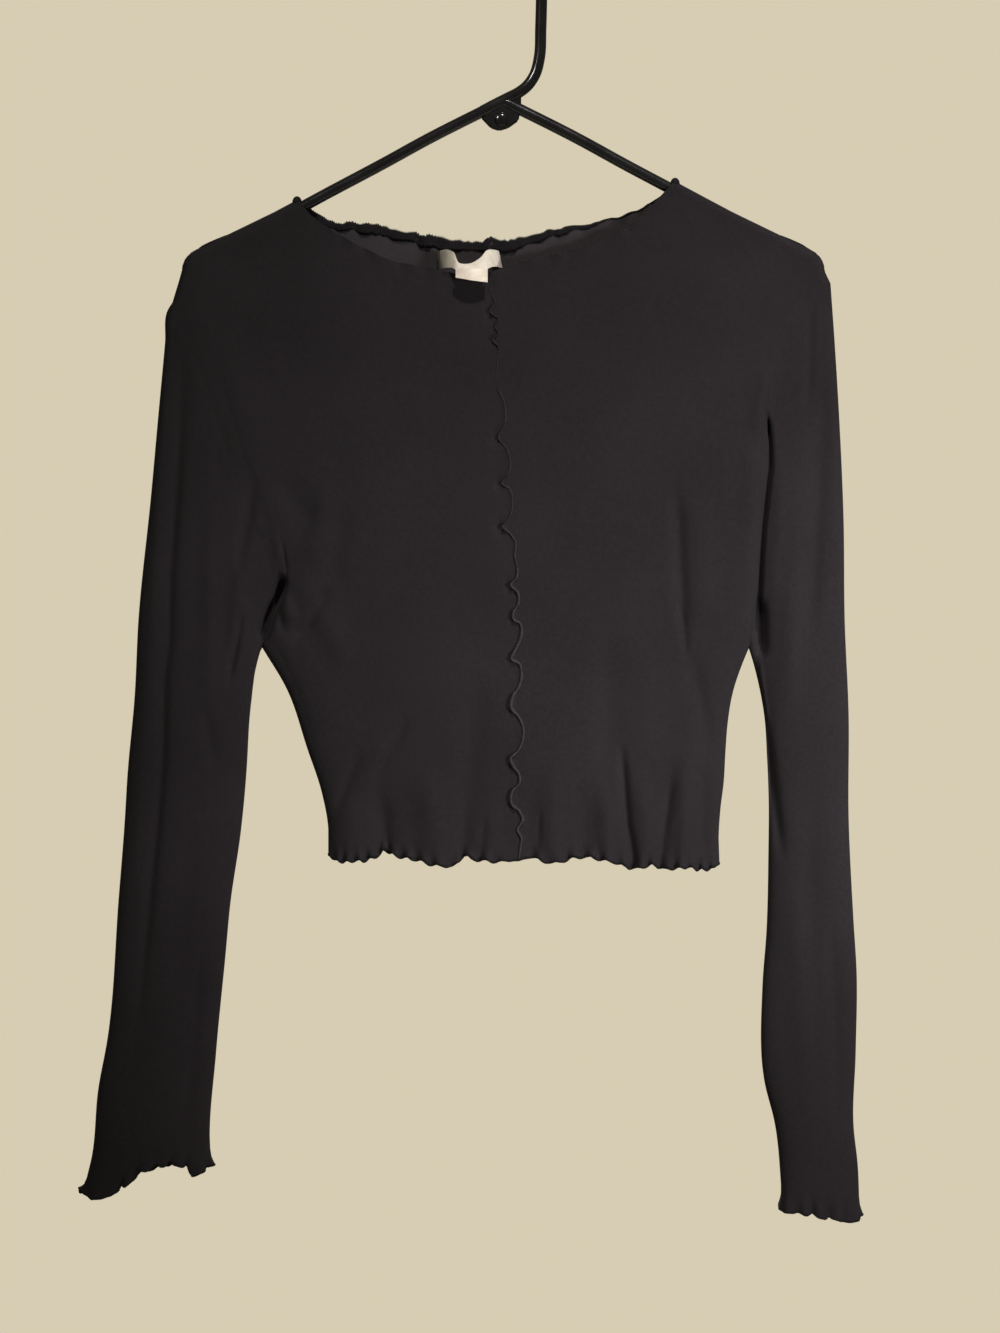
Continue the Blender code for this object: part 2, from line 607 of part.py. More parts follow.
def sleeve_ring(side, r, count, stations=None):
    """One closed ring of the sleeve, as seen at a fraction of its length: list of x, half depth, z."""
    lines = LINES[side]
    outer = lines["outer"](r)
    inner = lines["inner"](r ** ARMPIT_PACKING)
    deep = table_value(SLEEVE_DEPTH, r)
    half = []
    for h in range(count + 1):
        across, rise = half_ring(h, count)
        spot = outer.lerp(inner, across)
        depth = deep * rise
        if stations:
            seam, seam_depth = stations[h]
            chord = lines["outer"](0).lerp(lines["inner"](0), across)
            spot = spot + (seam - chord) * (1 - ease(r / SLEEVE_BLEND))
            depth = mix(seam_depth, depth, ease(r / SLEEVE_ROUND))
        half.append((spot, depth))
    calm = ease(r / SLEEVE_CALM)
    ring = []
    for h in range(2 * count):
        face = "front" if h <= count else "back"
        spot, depth = half[h] if h <= count else half[2 * count - h]
        if depth > 1:
            depth += fold_height(SLEEVE_FOLDS[face], spot.x, spot.y) * calm * min(depth / deep, 1)
        ring.append((spot.x, FACES[face] * depth, spot.y))
    return ring


def sleeve_rows(side):
    """Closed rings of a sleeve, from the armhole to the waved cuff."""
    stations = armhole_stations(side)
    count = len(stations) - 1
    rows = []
    for k in range(SLEEVE_RINGS + 1):
        r = k / (SLEEVE_RINGS + 1)
        ring = sleeve_ring(side, r, count, stations)
        rows.append([(h / len(ring), point) for h, point in enumerate(ring)])
    edge_count = CUFF_WAVES * WAVE_STEPS // 2
    above = sleeve_ring(side, CUFF_RUN, edge_count)
    edge = sleeve_ring(side, 1.0, edge_count)
    middle = (Vector(edge[0]) + Vector(edge[edge_count])) / 2
    for drop, share in zip(CUFF_DROPS, CUFF_SHARES):
        row = []
        for h, (low, high) in enumerate(zip(edge, above)):
            up = (Vector(high) - Vector(low)).normalized()
            across, _ = half_ring(min(h, len(edge) - h), edge_count)
            phase = 2 * pi * h / WAVE_STEPS
            rise = drop + table_value(CUFF_RISE[side], across) + CUFF_WAVE[1] * share * sin(phase + WAVE_LAG)
            out = Vector((low[0] - middle.x, low[1] * CUFF_OUT, 0)).normalized()
            point = Vector(low) + up * rise + out * (CUFF_WAVE[0] * share * sin(phase))
            row.append((h / len(edge), tuple(point)))
        rows.append(row)
    return rows


# ---------------------------------------------------------------- making objects
def material(name):
    """Principled material from the palette."""
    if name in bpy.data.materials:
        return bpy.data.materials[name]
    colour, roughness = PALETTE[name]
    made = bpy.data.materials.new(name)
    made.use_nodes = True
    shader = made.node_tree.nodes["Principled BSDF"]
    shader.inputs["Base Color"].default_value = (*colour, 1)
    shader.inputs["Roughness"].default_value = roughness
    shader.inputs["Metallic"].default_value = 0.0
    return made


def add_object(name, data, finish):
    """Object in the garment's collection with its own copy of a finish."""
    made = bpy.data.objects.new(name, data)
    bpy.data.collections["crop_top"].objects.link(made)
    coat = material(finish).copy()
    coat.name = name
    data.materials.append(coat)
    return made


def sheet_mesh(name, rows, closed=False):
    """Mesh over rows of (fraction, point); rows with unlike counts are zipped at their fractions."""
    bm = bmesh.new()
    lines = []
    for row in rows:
        marks = [mark for mark, _ in row]
        verts = [bm.verts.new(Vector(point) * MM) for _, point in row]
        if closed:
            marks.append(1.0)
            verts.append(verts[0])
        lines.append((marks, verts))
    for (marks_a, a), (marks_b, b) in zip(lines, lines[1:]):
        zip_faces(bm, marks_a, a, marks_b, b)
    bm.normal_update()
    mesh = bpy.data.meshes.new(name)
    bm.to_mesh(mesh)
    bm.free()
    mesh.shade_smooth()
    return mesh


def zip_faces(bm, marks_a, a, marks_b, b):
    """Faces between two rows: quads where their fractions agree, triangles elsewhere."""
    i = j = 0
    while i < len(a) - 1 or j < len(b) - 1:
        more_a = i < len(a) - 1
        more_b = j < len(b) - 1
        apart = abs(marks_a[i] - marks_b[j])
        if more_a and more_b:
            apart += abs(marks_a[i + 1] - marks_b[j + 1])
        if more_a and more_b and apart < 1e-5:
            bm.faces.new((a[i], b[j], b[j + 1], a[i + 1]))
            i += 1
            j += 1
        elif more_a and (not more_b or marks_a[i] + marks_a[i + 1] < marks_b[j] + marks_b[j + 1]):
            bm.faces.new((a[i], b[j], a[i + 1]))
            i += 1
        else:
            bm.faces.new((a[i], b[j], b[j + 1]))
            j += 1


def add_wall(made, thickness):
    """Cloth thickness, half to each side of the sheet."""
    wall = made.modifiers.new("wall", "SOLIDIFY")
    wall.thickness = thickness * MM
    wall.offset = 0.0
    return made


def make_front(side):
    rows = panel_rows(side, "front")
    shift = SEAM_GAP / 2 * (-1 if side == "left" else 1)
    for row in rows:
        w, point = row[0]
        row[0] = (w, (point[0] + shift, point[1], point[2]))
    return add_wall(add_object(f"front_{side}", sheet_mesh("front", rows), "cloth"), WALL)


def make_back():
    left = panel_rows("left", "back")
    right = panel_rows("right", "back")
    rows = []
    for row_l, row_r in zip(left, right):
        rows.append([(-w, point) for w, point in reversed(row_l)][:-1] + row_r)
    return add_wall(add_object("back", sheet_mesh("back", rows), "cloth"), WALL)


def make_sleeve(side):
    mesh = sheet_mesh("sleeve", sleeve_rows(side), closed=True)
    return add_wall(add_object(f"sleeve_{side}", mesh, "cloth"), WALL)


def make_ruffle():
    """Wavy fin that stands out along the centre front seam."""
    points = []
    for (z_a, x_a), (z_b, x_b) in zip(RUFFLE_TURNS, RUFFLE_TURNS[1:]):
        for step in range(RUFFLE_STEPS):
            t = step / RUFFLE_STEPS
            points.append((mix(z_a, z_b, t), mix(x_a, x_b, (1 - cos(pi * t)) / 2)))
    points.append(RUFFLE_TURNS[-1])
    rows = []
    for k, share in enumerate(RUFFLE_SHARES):
        out = RUFFLE_GAP + RUFFLE_DEPTH * k / 2
        row = []
        for i, (z, sway) in enumerate(points):
            t = (z - CENTRE(0).y) / (CENTRE(1).y - CENTRE(0).y)
            spot = Vector((CENTRE(t).x, z))
            depth = panel_depth("left", "front", 0.0, spot, SEAM_EDGE)
            row.append((i, (spot.x + sway * share, -depth - out, z)))
        rows.append(row)
    return add_wall(add_object("front_seam_ruffle", sheet_mesh("ruffle", rows), "cloth"), WALL)


def make_label():
    """Loop of satin tape sewn by its two ends inside the back neck."""
    rows = []
    for edge in (0, 1):
        path = smooth_curve([row[edge] for row in LABEL_LOOP])
        rows.append([(i, tuple(path(i / LABEL_STEPS))) for i in range(LABEL_STEPS + 1)])
    return add_wall(add_object("neck_label", sheet_mesh("label", rows), "label"), LABEL_WALL)


def make_tab():
    """Small plain tab that hangs from the loop's lower edge."""
    rows = []
    for column in (2, 3):
        rows.append([(i, (row[0], row[1], row[column])) for i, row in enumerate(TAB_EDGE)])
    return add_wall(add_object("neck_tab", sheet_mesh("tab", rows), "label"), LABEL_WALL)


# ---------------------------------------------------------------- hanger
def tube(name, points, cyclic=False):
    """Round tube of the hanger along x, z points, as a closed mesh object."""
    curve = bpy.data.curves.new(name, "CURVE")
    curve.dimensions = "3D"
    curve.bevel_depth = TUBE_R * MM
    curve.bevel_resolution = TUBE_SMOOTH
    curve.use_fill_caps = not cyclic
    line = curve.splines.new("POLY")
    line.points.add(len(points) - 1)
    for spot, point in zip(points, line.points):
        point.co = (spot[0] * MM, 0, spot[1] * MM, 1)
    line.use_cyclic_u = cyclic
    holder = bpy.data.objects.new(name, curve)
    bpy.data.collections["crop_top"].objects.link(holder)
    bpy.context.view_layer.update()
    depsgraph = bpy.context.evaluated_depsgraph_get()
    mesh = bpy.data.meshes.new_from_object(holder.evaluated_get(depsgraph))
    bm = bmesh.new()
    bm.from_mesh(mesh)
    bmesh.ops.remove_doubles(bm, verts=bm.verts, dist=0.00001)
    bmesh.ops.recalc_face_normals(bm, faces=bm.faces)
    bm.to_mesh(mesh)
    bm.free()
    bpy.data.objects.remove(holder)
    bpy.data.curves.remove(curve)
    return mesh


def web_mesh():
    """Flat plate between the arms and the stem."""
    bm = bmesh.new()
    front = [bm.verts.new((x * MM, -WEB_WALL / 2 * MM, z * MM)) for x, z in HANGER_WEB]
    plate = bm.faces.new(front)
    back = bmesh.ops.extrude_face_region(bm, geom=[plate])
    moved = [item for item in back["geom"] if isinstance(item, bmesh.types.BMVert)]
    bmesh.ops.translate(bm, vec=(0, WEB_WALL * MM, 0), verts=moved)
    bmesh.ops.recalc_face_normals(bm, faces=bm.faces)
    mesh = bpy.data.meshes.new("web")
    bm.to_mesh(mesh)
    bm.free()
    return mesh


def make_hanger():
    """Arms, rounded ends and bottom bar in one loop, with the hook and the web joined on."""
    right, _ = arm_points()
    right = [(p.x, p.y) for p in right]
    left = [(-x, z) for x, z in reversed(right[1:])]
    hanger = add_object("hanger", tube("hanger", right + left, cyclic=True), "hanger")
    hook_centre = (0, -(HOOK_R - TUBE_R))
    stem = smooth_curve(HANGER_STEM)
    hook = [tuple(stem(i / STEM_STEPS)) for i in range(STEM_STEPS + 1)]
    for i in range(1, HOOK_STEPS + 1):
        angle = HOOK_END * i / HOOK_STEPS
        hook.append((hook_centre[0] + HOOK_R * cos(angle), hook_centre[1] + HOOK_R * sin(angle)))
    for name, mesh in (("hook", tube("hook", hook)), ("web", web_mesh())):
        cutter = bpy.data.objects.new(name, mesh)
        bpy.data.collections["joined"].objects.link(cutter)
        cutter.hide_render = True
        cutter.display_type = "WIRE"
        join = hanger.modifiers.new(name, "BOOLEAN")
        join.operation = "UNION"
        join.solver = "EXACT"
        join.object = cutter
    return hanger


def main():
    for old in list(bpy.data.objects):
        bpy.data.objects.remove(old)
    for name in ("crop_top", "joined"):
        group = bpy.data.collections.new(name)
        bpy.context.scene.collection.children.link(group)
    make_hanger()
    make_front("left")
    make_front("right")
    make_back()
    make_sleeve("left")
    make_sleeve("right")
    make_ruffle()
    make_label()
    make_tab()


main()
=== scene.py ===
"""Looks of the long-sleeve crop top and its clothes hanger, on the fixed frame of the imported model.

Sizes are millimetres until a mesh is made. The frame is that of the solids: +X to the right as seen
from the front, which faces -Y, +Z up, and the origin at the inside top of the hanger's hook.
"""

from math import atan2, pi, radians

import bmesh
import bpy
import numpy as np
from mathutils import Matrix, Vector


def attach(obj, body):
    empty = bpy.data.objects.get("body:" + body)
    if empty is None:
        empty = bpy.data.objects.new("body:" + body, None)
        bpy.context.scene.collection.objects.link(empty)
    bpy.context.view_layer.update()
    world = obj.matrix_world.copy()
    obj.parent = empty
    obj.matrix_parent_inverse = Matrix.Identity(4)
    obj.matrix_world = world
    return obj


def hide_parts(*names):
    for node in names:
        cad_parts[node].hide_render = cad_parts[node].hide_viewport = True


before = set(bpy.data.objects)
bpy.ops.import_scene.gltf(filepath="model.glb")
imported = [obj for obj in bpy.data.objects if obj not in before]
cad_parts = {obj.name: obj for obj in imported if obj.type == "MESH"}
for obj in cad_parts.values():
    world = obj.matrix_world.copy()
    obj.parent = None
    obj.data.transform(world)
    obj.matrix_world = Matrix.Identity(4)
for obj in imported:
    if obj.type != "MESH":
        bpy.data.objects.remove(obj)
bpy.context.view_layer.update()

MM = 0.001

# ---- driving sizes, mm
SHELL = 0.8  # thickness of the cloth
JOIN_LAP = 0.25  # how far the sleeve's end runs under the body's edge
SEAM_EDGE = 0.32  # half depth where front and back meet
TUBE_R = 3.8  # hanger
HOOK_R = 25.5
HOOK_END = radians(175)
TIP_R = 12.0
WRAP_R = 5.3  # middle of the cloth, where it lies over the tube
FOLD_TURNS = (45, 68, 88)
EDGE_R = 0.85  # overlocked edge: half its thickness
NECK_SIZE = {"front": 0.55, "back": 0.85}  # the neck's, as a multiple of that
# Its height over its thickness: one number, or at each x
NECK_BAND = {
    "front": 0.8,
    # The back's band is widened, in the darker thread, over a dark strip along the back neck: partly
    # the rolled edge, partly painted shade
    "back": ((-138, 2.4), (-118, 4.0), (-80, 5.0), (-52, 5.6), (14, 5.4), (34, 3.4), (58, 2.2),
             (70, 1.1), (115, 1.0)),
}
BAND_LOW = 0.8  # a high edge hangs by this share of its extra height below its line
HEM_SIZE = 0.8
HEM_BAND = 1.4
CUFF_SIZE = 0.7
RUFFLE_SIZE = ((-596, 0.7), (-575, 1.1), (-430, 1.1), (-400, 0.75), (-290, 0.6), (-284, 0.25),
               (-262, 0.25), (-255, 0.4), (-230, 0.4), (-222, 0.25), (-212, 0.25))  # at each z
EDGE_TRIM = 1.1  # the cloth ends this far above the lower side of its edges
CUFF_TRIM = {"left": -0.2, "right": -1.4}
KNOB_R = 3.0  # curled end of the edge, where it turns over the shoulder
KNOB_HIGH = -0.9
KNOB_SCALE = (1.05, 1.5, 1.3)
KNOB_SPLIT = 20
BALL_RINGS = 12
EDGE_SIDES = 8
EDGE_STEP = 0.45  # distance between its rings
THREAD_PITCH = 1.5
THREAD_RELIEF = 0.16  # how far the thread's turns stand out, as a share of the radius
THREAD_TWIST = 3.0  # plies in one of them
# The edges' lumps: share of the radius, mm to a radian, for long and short ones
LUMPS = (0.12, 7.3, 0.1, 1.3)
LUMP_SHIFT = (2.0, 5.0)  # how the short ones shift along: radians, mm to a radian

NECK_COLUMNS = 7  # ripples from the centre of the neck to its point
SHOULDER_COLUMNS = 7  # stations along the shoulder, and those of them on the arm's round end
TIP_COLUMNS = 4
HEM_WAVES = 14  # ripples in half of the front's or back's hem
COLUMN_SPREAD = 0.4  # columns lie closer together towards the panel's outer edge
NECK_W = 0.5  # the neck point's fraction of the panel's width
NECK_FINE = 70  # columns of the mesh in the neck and in the shoulder
SHOULDER_FINE = 80
WRAP_FINE = 10  # rows round the tube, down to the armpit, down to the hem, at the hem
ARM_FINE = 88
SIDE_FINE = 48
HEM_FINE = 9
NECK_SLANT = 1.13
NECK_DROP = 8.0  # height of the rows at the neck's and at the hem's edge
HEM_DROP = 10.0
# Height of a ripple: out of the cloth's face, up along it
NECK_WAVE = {"front": (0.8, 0.3), "back": (1.0, 0.7)}
HEM_WAVE = (2.0, 0.9)
CUFF_WAVE = {"left": (2.0, 1.2), "right": (1.2, 1.0)}
CUFF_FLARE = 2.4  # how far the cuff's two folds turn outwards
WAVE_LAG = 1.0  # radians from a ripple's way out to its way up
NECK_CALM = 6.0  # how fast the ripples come up from the ends of their edge
HEM_CALM = 10.0
CUFF_CALM = 9.0
NECK_SHIFT = (1.1, 0.37)  # how far, in radians, and how often the neck's ripples move along it
CUFF_LAG = 2.2  # from the ripples of the cuff's front to its back's
RIPPLE_RUN = {"neck": 90.0, "hem": 60.0, "cuff": 0.4}  # from w or a column to RIPPLES' radians
# How the ripples differ: height, turns for each of those radians, share of the seed
RIPPLES = ((0.28, 0.83, 1.0), (0.2, 0.37, 2.1))
# Share of the ripple that rows carry: distance from the edge, share
NECK_FALL = ((0, 1.0), (2.6, 0.55), (5.2, 0.12), (8.0, 0.0))
HEM_FALL = ((0, 1.0), (2.6, 0.5), (5.4, 0.2), (10.0, 0.0))
CUFF_FALL = ((0, 1.0), (3.0, 0.6), (6.5, 0.2), (12.0, 0.0))

SIDE_END = 0.955  # share of a panel's height where the hem's rows start
ARMPIT_V = 0.62  # and where the armpit is
NEAR = 1e-6
NECK_CLEAR = 6.0  # from the neck point to the first point of the shoulder's curve
ARM_STATIONS = (0.0, 0.13, 0.26, 0.39, 0.52, 0.65, 0.77, 0.87, 0.95, 1.0)
WRAP_STATIONS = 3  # the sleeve's seam first goes this many stations round the tube
WRAP_STATION = 30  # degrees from one to the next
SLEEVE_HALF = 84  # columns in half a sleeve
SLEEVE_FINE = 170  # rings down to the cuff
SLEEVE_END = 0.96  # share of the sleeve's length where the cuff's rows start
SLEEVE_BLEND = 0.5  # where the armhole's path has faded out of it, and the armhole's depth
SLEEVE_ROUND = 0.3
SLEEVE_OVAL = 2.5  # 2 is an ellipse, more is squarer
SLEEVE_PACKING = 1.4  # the rings lie closer together towards the armhole
ARMPIT_PACKING = 1.6
CUFF_RUN = 0.97
CUFF_OUT = 3.0  # how much more a cuff opens from front to back than across
FLARE_SQUARE = 6
NOTCH_RISE = {"left": 1.5, "right": 0.6}  # how far the cuff's notches reach, and half their width
NOTCH_WIDTH = 1.6
CUFF_ROWS = (12.0, 10.0, 8.0, 6.5, 5.0, 4.0, 3.0, 2.0, 1.0, 0.0)
DEPTH_RUN = 70.0  # below the tube it takes this long for the body to reach its depth
PANEL_SQUARE = 4  # how late the body gets shallower on the way to its outer edge
EDGE_ROUND = 0.7
CREASE_CLEAR = 4.0  # creases have their full height where the cloth lies this deep
SLOT_DEEP = {"front": 0.55, "back": 0.0}  # how far past the middle creases may reach, by the depth
CREASE_FADE = 0.3  # share of a crease's length over which it comes up and dies away
FOLD_FADE = 14.0  # below the hanger's arm it takes this long for creases to come up

RUFFLE_OUT = ((-212, 0.4), (-222, 0.5), (-230, 1.4), (-256, 1.4), (-262, 0.4), (-284, 0.4),
              (-290, 0.9), (-385, 0.9), (-415, 1.0), (-596, 0.9))  # out of the cloth, at each z
RUFFLE_ROWS = 8
RUFFLE_FINE = 460  # columns from the neck to the hem
RUFFLE_ROOT = 0.4  # share of the edge's kinks that its root follows
RUFFLE_SPLIT = -404.0  # its edge is rolled outwards below this, and is paler there: partly its reverse side, partly a painted highlight along the ridge
KINK_LIFT = 1.4  # how much further out its edge stands at its kinks, to the left of the seam
KINK_RUN = 3.0  # and how far from the seam it has all of that
EDGE_THIN = ((-450, 0.25), (-385, 0.7))  # how much thinner its edge is above a kink, at each z
RUFFLE_RISE = 4  # its root reaches its own place after one in this many of its rows
LABEL_SHELL = 0.35
LABEL_FINE, LABEL_ROWS = 90, 10
TAB_FINE, TAB_ROWS = 30, 8
ARM_STEPS, TIP_STEPS, STEM_STEPS, HOOK_STEPS = 60, 20, 50, 40
TUBE_SIDES = 20

# ---- tables of the garment's form
HANGER_ARM = (
    (0, -93.5), (18, -102.3), (49, -118), (80, -135), (115, -153.6), (150, -172.3), (177, -185.4),
    (201.5, -197)
)
HANGER_STEM = (
    (-14, -100.1), (-3.5, -94.6), (3.7, -91), (9.8, -87.9), (15.8, -83.3), (21.2, -75.2),
    (23.9, -64.8), (24.9, -45), (25.4, -27)
)
HANGER_WEB = (
    (-15, -104.5), (-8.4, -111.4), (-2.8, -113.2), (3.2, -111.4), (10.2, -106.4), (11.9, -96),
    (11.9, -89.5), (0, -92)
)
WEB_WALL = 4.4
BOSS = (-1.2, -105.9)  # middle of the round boss on the web: x, z
BOSS_R = 4.6
BOSS_RISE = 1.9
BOSS_SPLIT = 24
WEB_BEVEL = 0.9
SHARP_ANGLE = radians(50)

CENTRE_SEAM = (
    (-8.5, -209), (-6.5, -236), (-4.2, -286), (-0.2, -345), (3.2, -379), (7.1, -408), (8.5, -425),
    (8.5, -492), (9.1, -545), (10.4, -598)
)
# Where the seams meet: x, z
NECK_CENTRE = {"front": (-8.5, -208.5), "back": (-8.5, -185.2)}
NECK_POINT = {"left": (-137.2, -159.6), "right": (114.2, -147.3)}
SHOULDER_END = {"left": (-219.7, -227.6), "right": (217.3, -215.0)}
ARMPIT = {"left": (-160.5, -455.7), "right": (163.4, -455.7)}
HEM_CORNER = {"left": (-116, -595), "right": (143.4, -601)}
HEM_CENTRE = {"front": (10.4, -597.2), "back": (10.4, -594.8)}
# The points between those
NECK = {
    ("left", "front"): ((-22, -210.6), (-43, -206.6), (-73, -200.8), (-105, -185.3),
        (-127.2, -170.5)),
    ("right", "front"): ((2, -204), (37, -196), (62, -188.4), (84, -177.5), (106.2, -155.6)),
    ("left", "back"): ((-22, -187), (-41, -184.7), (-54, -182.5), (-75, -178.2), (-94, -175),
        (-117.9, -172.4), (-128, -166)),
    ("right", "back"): ((4.5, -186.2), (24, -181), (54, -175), (86, -166.8), (99, -160.4),
        (108, -153.8)),
}
ARMHOLE = {
    "left": ((-204, -262), (-191.5, -299), (-178.5, -340), (-165, -376), (-154.5, -402),
        (-151.5, -421), (-154, -439)),
    "right": ((205, -238), (191.5, -262), (181.5, -290), (176.8, -318), (174.5, -350), (172, -382),
        (168.5, -418)),
}
SIDE_SEAM = {
    "left": ((-143.2, -485), (-129.9, -524), (-120.6, -552), (-116.2, -575)),
    "right": ((158.7, -467), (152.1, -487), (148.8, -507), (147.4, -525), (146.1, -547),
        (144.1, -563), (142.8, -588)),
}
HEM = {
    ("left", "front"): ((-2, -598), (-17, -597.3), (-26.8, -595), (-31.5, -600.4), (-45.4, -600.7),
        (-56, -597.5), (-71.4, -594.7), (-77.3, -590.2), (-82.7, -594.7), (-100, -598.7),
        (-111, -598)),
    ("right", "front"): ((18.4, -595.3), (28.4, -598.7), (54.3, -595.3), (71.6, -598.7),
        (88.5, -603), (97.5, -601.2), (107, -603.3), (121.5, -602.7), (136, -604.4)),
    ("left", "back"): ((-22, -593.2), (-54, -595.4), (-86, -592)),
    ("right", "back"): ((54, -593), (90, -598), (120, -597)),
}
SLEEVE_OUTER = {
    "left": ((-222.8, -232.6), (-224.6, -254), (-229.2, -304), (-233.8, -355), (-242.2, -438),
        (-244.8, -490), (-249.4, -540), (-251.4, -573), (-255.4, -624), (-263, -718),
        (-268.9, -750), (-273.2, -795), (-280, -822)),
    "right": ((219.9, -252), (223.2, -307), (225.9, -372), (226.6, -438), (229.2, -501),
        (229.2, -569), (232.5, -639), (234.5, -672), (233.9, -726), (232.5, -775), (235.2, -800),
        (236.5, -835)),
}
SLEEVE_INNER = {
    "left": ((-165.5, -466), (-168.9, -480), (-170, -500), (-171, -535), (-174.8, -578),
        (-181.9, -627), (-185.2, -662), (-191.4, -726), (-195.4, -790), (-194.4, -803)),
    "right": ((166.3, -465), (170.3, -481), (174, -502), (175.8, -530), (176.9, -560),
        (176.7, -591), (175.4, -645), (172.7, -682), (174, -745), (180.7, -772), (186, -827)),
}
# Half depth of the body: z, front, back
BODY_DEPTH = (
    (-150, 8, 8), (-210, 10, 9), (-300, 13, 11.5), (-400, 13.5, 12), (-470, 12.5, 12.5),
    (-605, 13, 13.5)
)
ARMHOLE_DEPTH = {
    "left": ((0, 5.3), (0.2, 8.5), (0.5, 10), (0.72, 9.5), (0.85, 8), (0.94, 5.5), (1, SEAM_EDGE)),
    "right": ((0, 5.3), (0.18, 8), (0.4, 7.5), (0.65, 7), (0.94, 5), (1, SEAM_EDGE)),
}
SLEEVE_DEPTH = ((0, 8.0), (0.2, 9.0), (0.45, 9.0), (0.8, 9.5), (1, 10.5))
CUFF_RISE = {
    "left": ((0, 0.0), (0.3, 0.5), (0.45, 6.0), (0.6, 8.0), (0.8, 5.0), (1, 0.0)),
    "right": ((0, 0.0), (0.5, 1.5), (1, 0.0)),
}
# Lower edge of the cuff's front, and the places of its notches: x, z and x
CUFF_EDGE = {
    "left": ((-281.5, -815.5), (-278.2, -819.4), (-271.5, -822.8), (-264.9, -822.1),
        (-260.2, -820.1), (-256.2, -817.5), (-254.6, -814.8), (-249.6, -814.1), (-245.6, -809.5),
        (-244.5, -803.5), (-240.9, -803.8), (-236.9, -804), (-233.6, -802.2), (-230.5, -799.5),
        (-228.3, -801.5), (-225, -801.2), (-222.3, -798.5), (-220.3, -798.2), (-218.3, -800.2),
        (-214.3, -801.2), (-210.3, -800.8), (-208.4, -799.2), (-207, -805.5), (-205.8, -808.1),
        (-203, -806.1), (-199, -804.2), (-195.4, -802.2)),
    "right": ((184.8, -829), (187.3, -830.4), (190.5, -830.8), (197.8, -830.8), (201.4, -832.5),
        (204.6, -831.2), (209.6, -833.9), (214.1, -835.3), (215.5, -833.5), (220.5, -835.3),
        (226.9, -837.1), (230.6, -837.1), (234.2, -836.1), (235.2, -833.7), (238.3, -832.5)),
}
CUFF_NOTCHES = {
    "left": (-281.5, -254.6, -244.5, -230.5, -220.3, -208.4, -195.4),
    "right": (184.8, 195.0, 204.6, 215.5, 226.5, 238.3),
}
# Edge of the ruffle: x, z
RUFFLE_EDGE = (
    (-8.5, -212), (-8.4, -222), (-5.4, -228.5), (-8.8, -234.5), (-3.2, -239.5), (-5.4, -244.8),
    (-3.1, -248.5), (-7.2, -253), (-3.4, -257.5), (-4.2, -270), (-3.9, -285.5), (0, -292.8),
    (1.5, -301.7), (1.3, -307.6), (0, -311.3), (-3.1, -318), (2.3, -325.4), (4.2, -331.3),
    (4.5, -338.7), (2.3, -343.8), (-0.9, -348.2), (4.2, -352), (5.9, -360.8), (5.2, -368.2),
    (2.3, -373.4), (-0.5, -376.6), (4.5, -381.5), (8, -387.4), (7.6, -396.3), (9.4, -406),
    (8.8, -410.5), (5, -415.5), (9.4, -420.3), (9.8, -428), (6.8, -433.1), (6.6, -438.1),
    (11, -440.8), (12.2, -445.3), (10.4, -453.4), (7.1, -459.9), (5.4, -464.5), (10.4, -467.3),
    (12, -472.8), (10.4, -482.5), (6.4, -488.9), (5.4, -497.1), (9.6, -501.9), (12.8, -508.4),
    (12.8, -518), (9.6, -525.3), (4.7, -530.4), (6.4, -535), (10.4, -540.7), (10.4, -547.1),
    (6.4, -551.1), (5.4, -560.3), (10.4, -564.9), (12.8, -570.5), (9.4, -577.6), (12, -582.7),
    (11.2, -589.1), (10.4, -596)
)
# Satin loop, upper and lower edge: x, y, z of each
LABEL_LOOP = (((-44.4, 7.8, -193.0), (-43.0, 7.8, -205.0)),
              ((-41.5, 0.0, -192.7), (-41.0, 0.0, -205.0)),
              ((-37.0, -7.5, -192.9), (-37.5, -8.5, -204.9)),
              ((-32.5, -12.5, -195.8), (-33.5, -14.5, -205.8)),
              ((-29.6, -14.8, -202.3), (-29.6, -18.6, -208.2)),
              ((-21.5, -15.0, -202.8), (-21.5, -20.6, -208.8)),
              ((-15.6, -13.5, -199.2), (-12.9, -18.4, -207.4)),
              ((-10.8, -8.0, -193.4), (-6.5, -9.5, -204.4)),
              ((-5.0, 0.0, -192.4), (-2.6, 0.0, -203.8)),
              ((-3.0, 7.8, -192.3), (-0.7, 7.8, -203.6)))
# Tab, from its left to its right edge: x, y, upper z, lower z
TAB_EDGE = (
    (-31.4, -19.6, -206.3, -212.6), (-26.5, -21.2, -206.8, -213.6), (-21.5, -21.7, -207, -214.6),
    (-16, -21, -206.6, -215.2), (-10.4, -18.9, -206, -215.7)
)

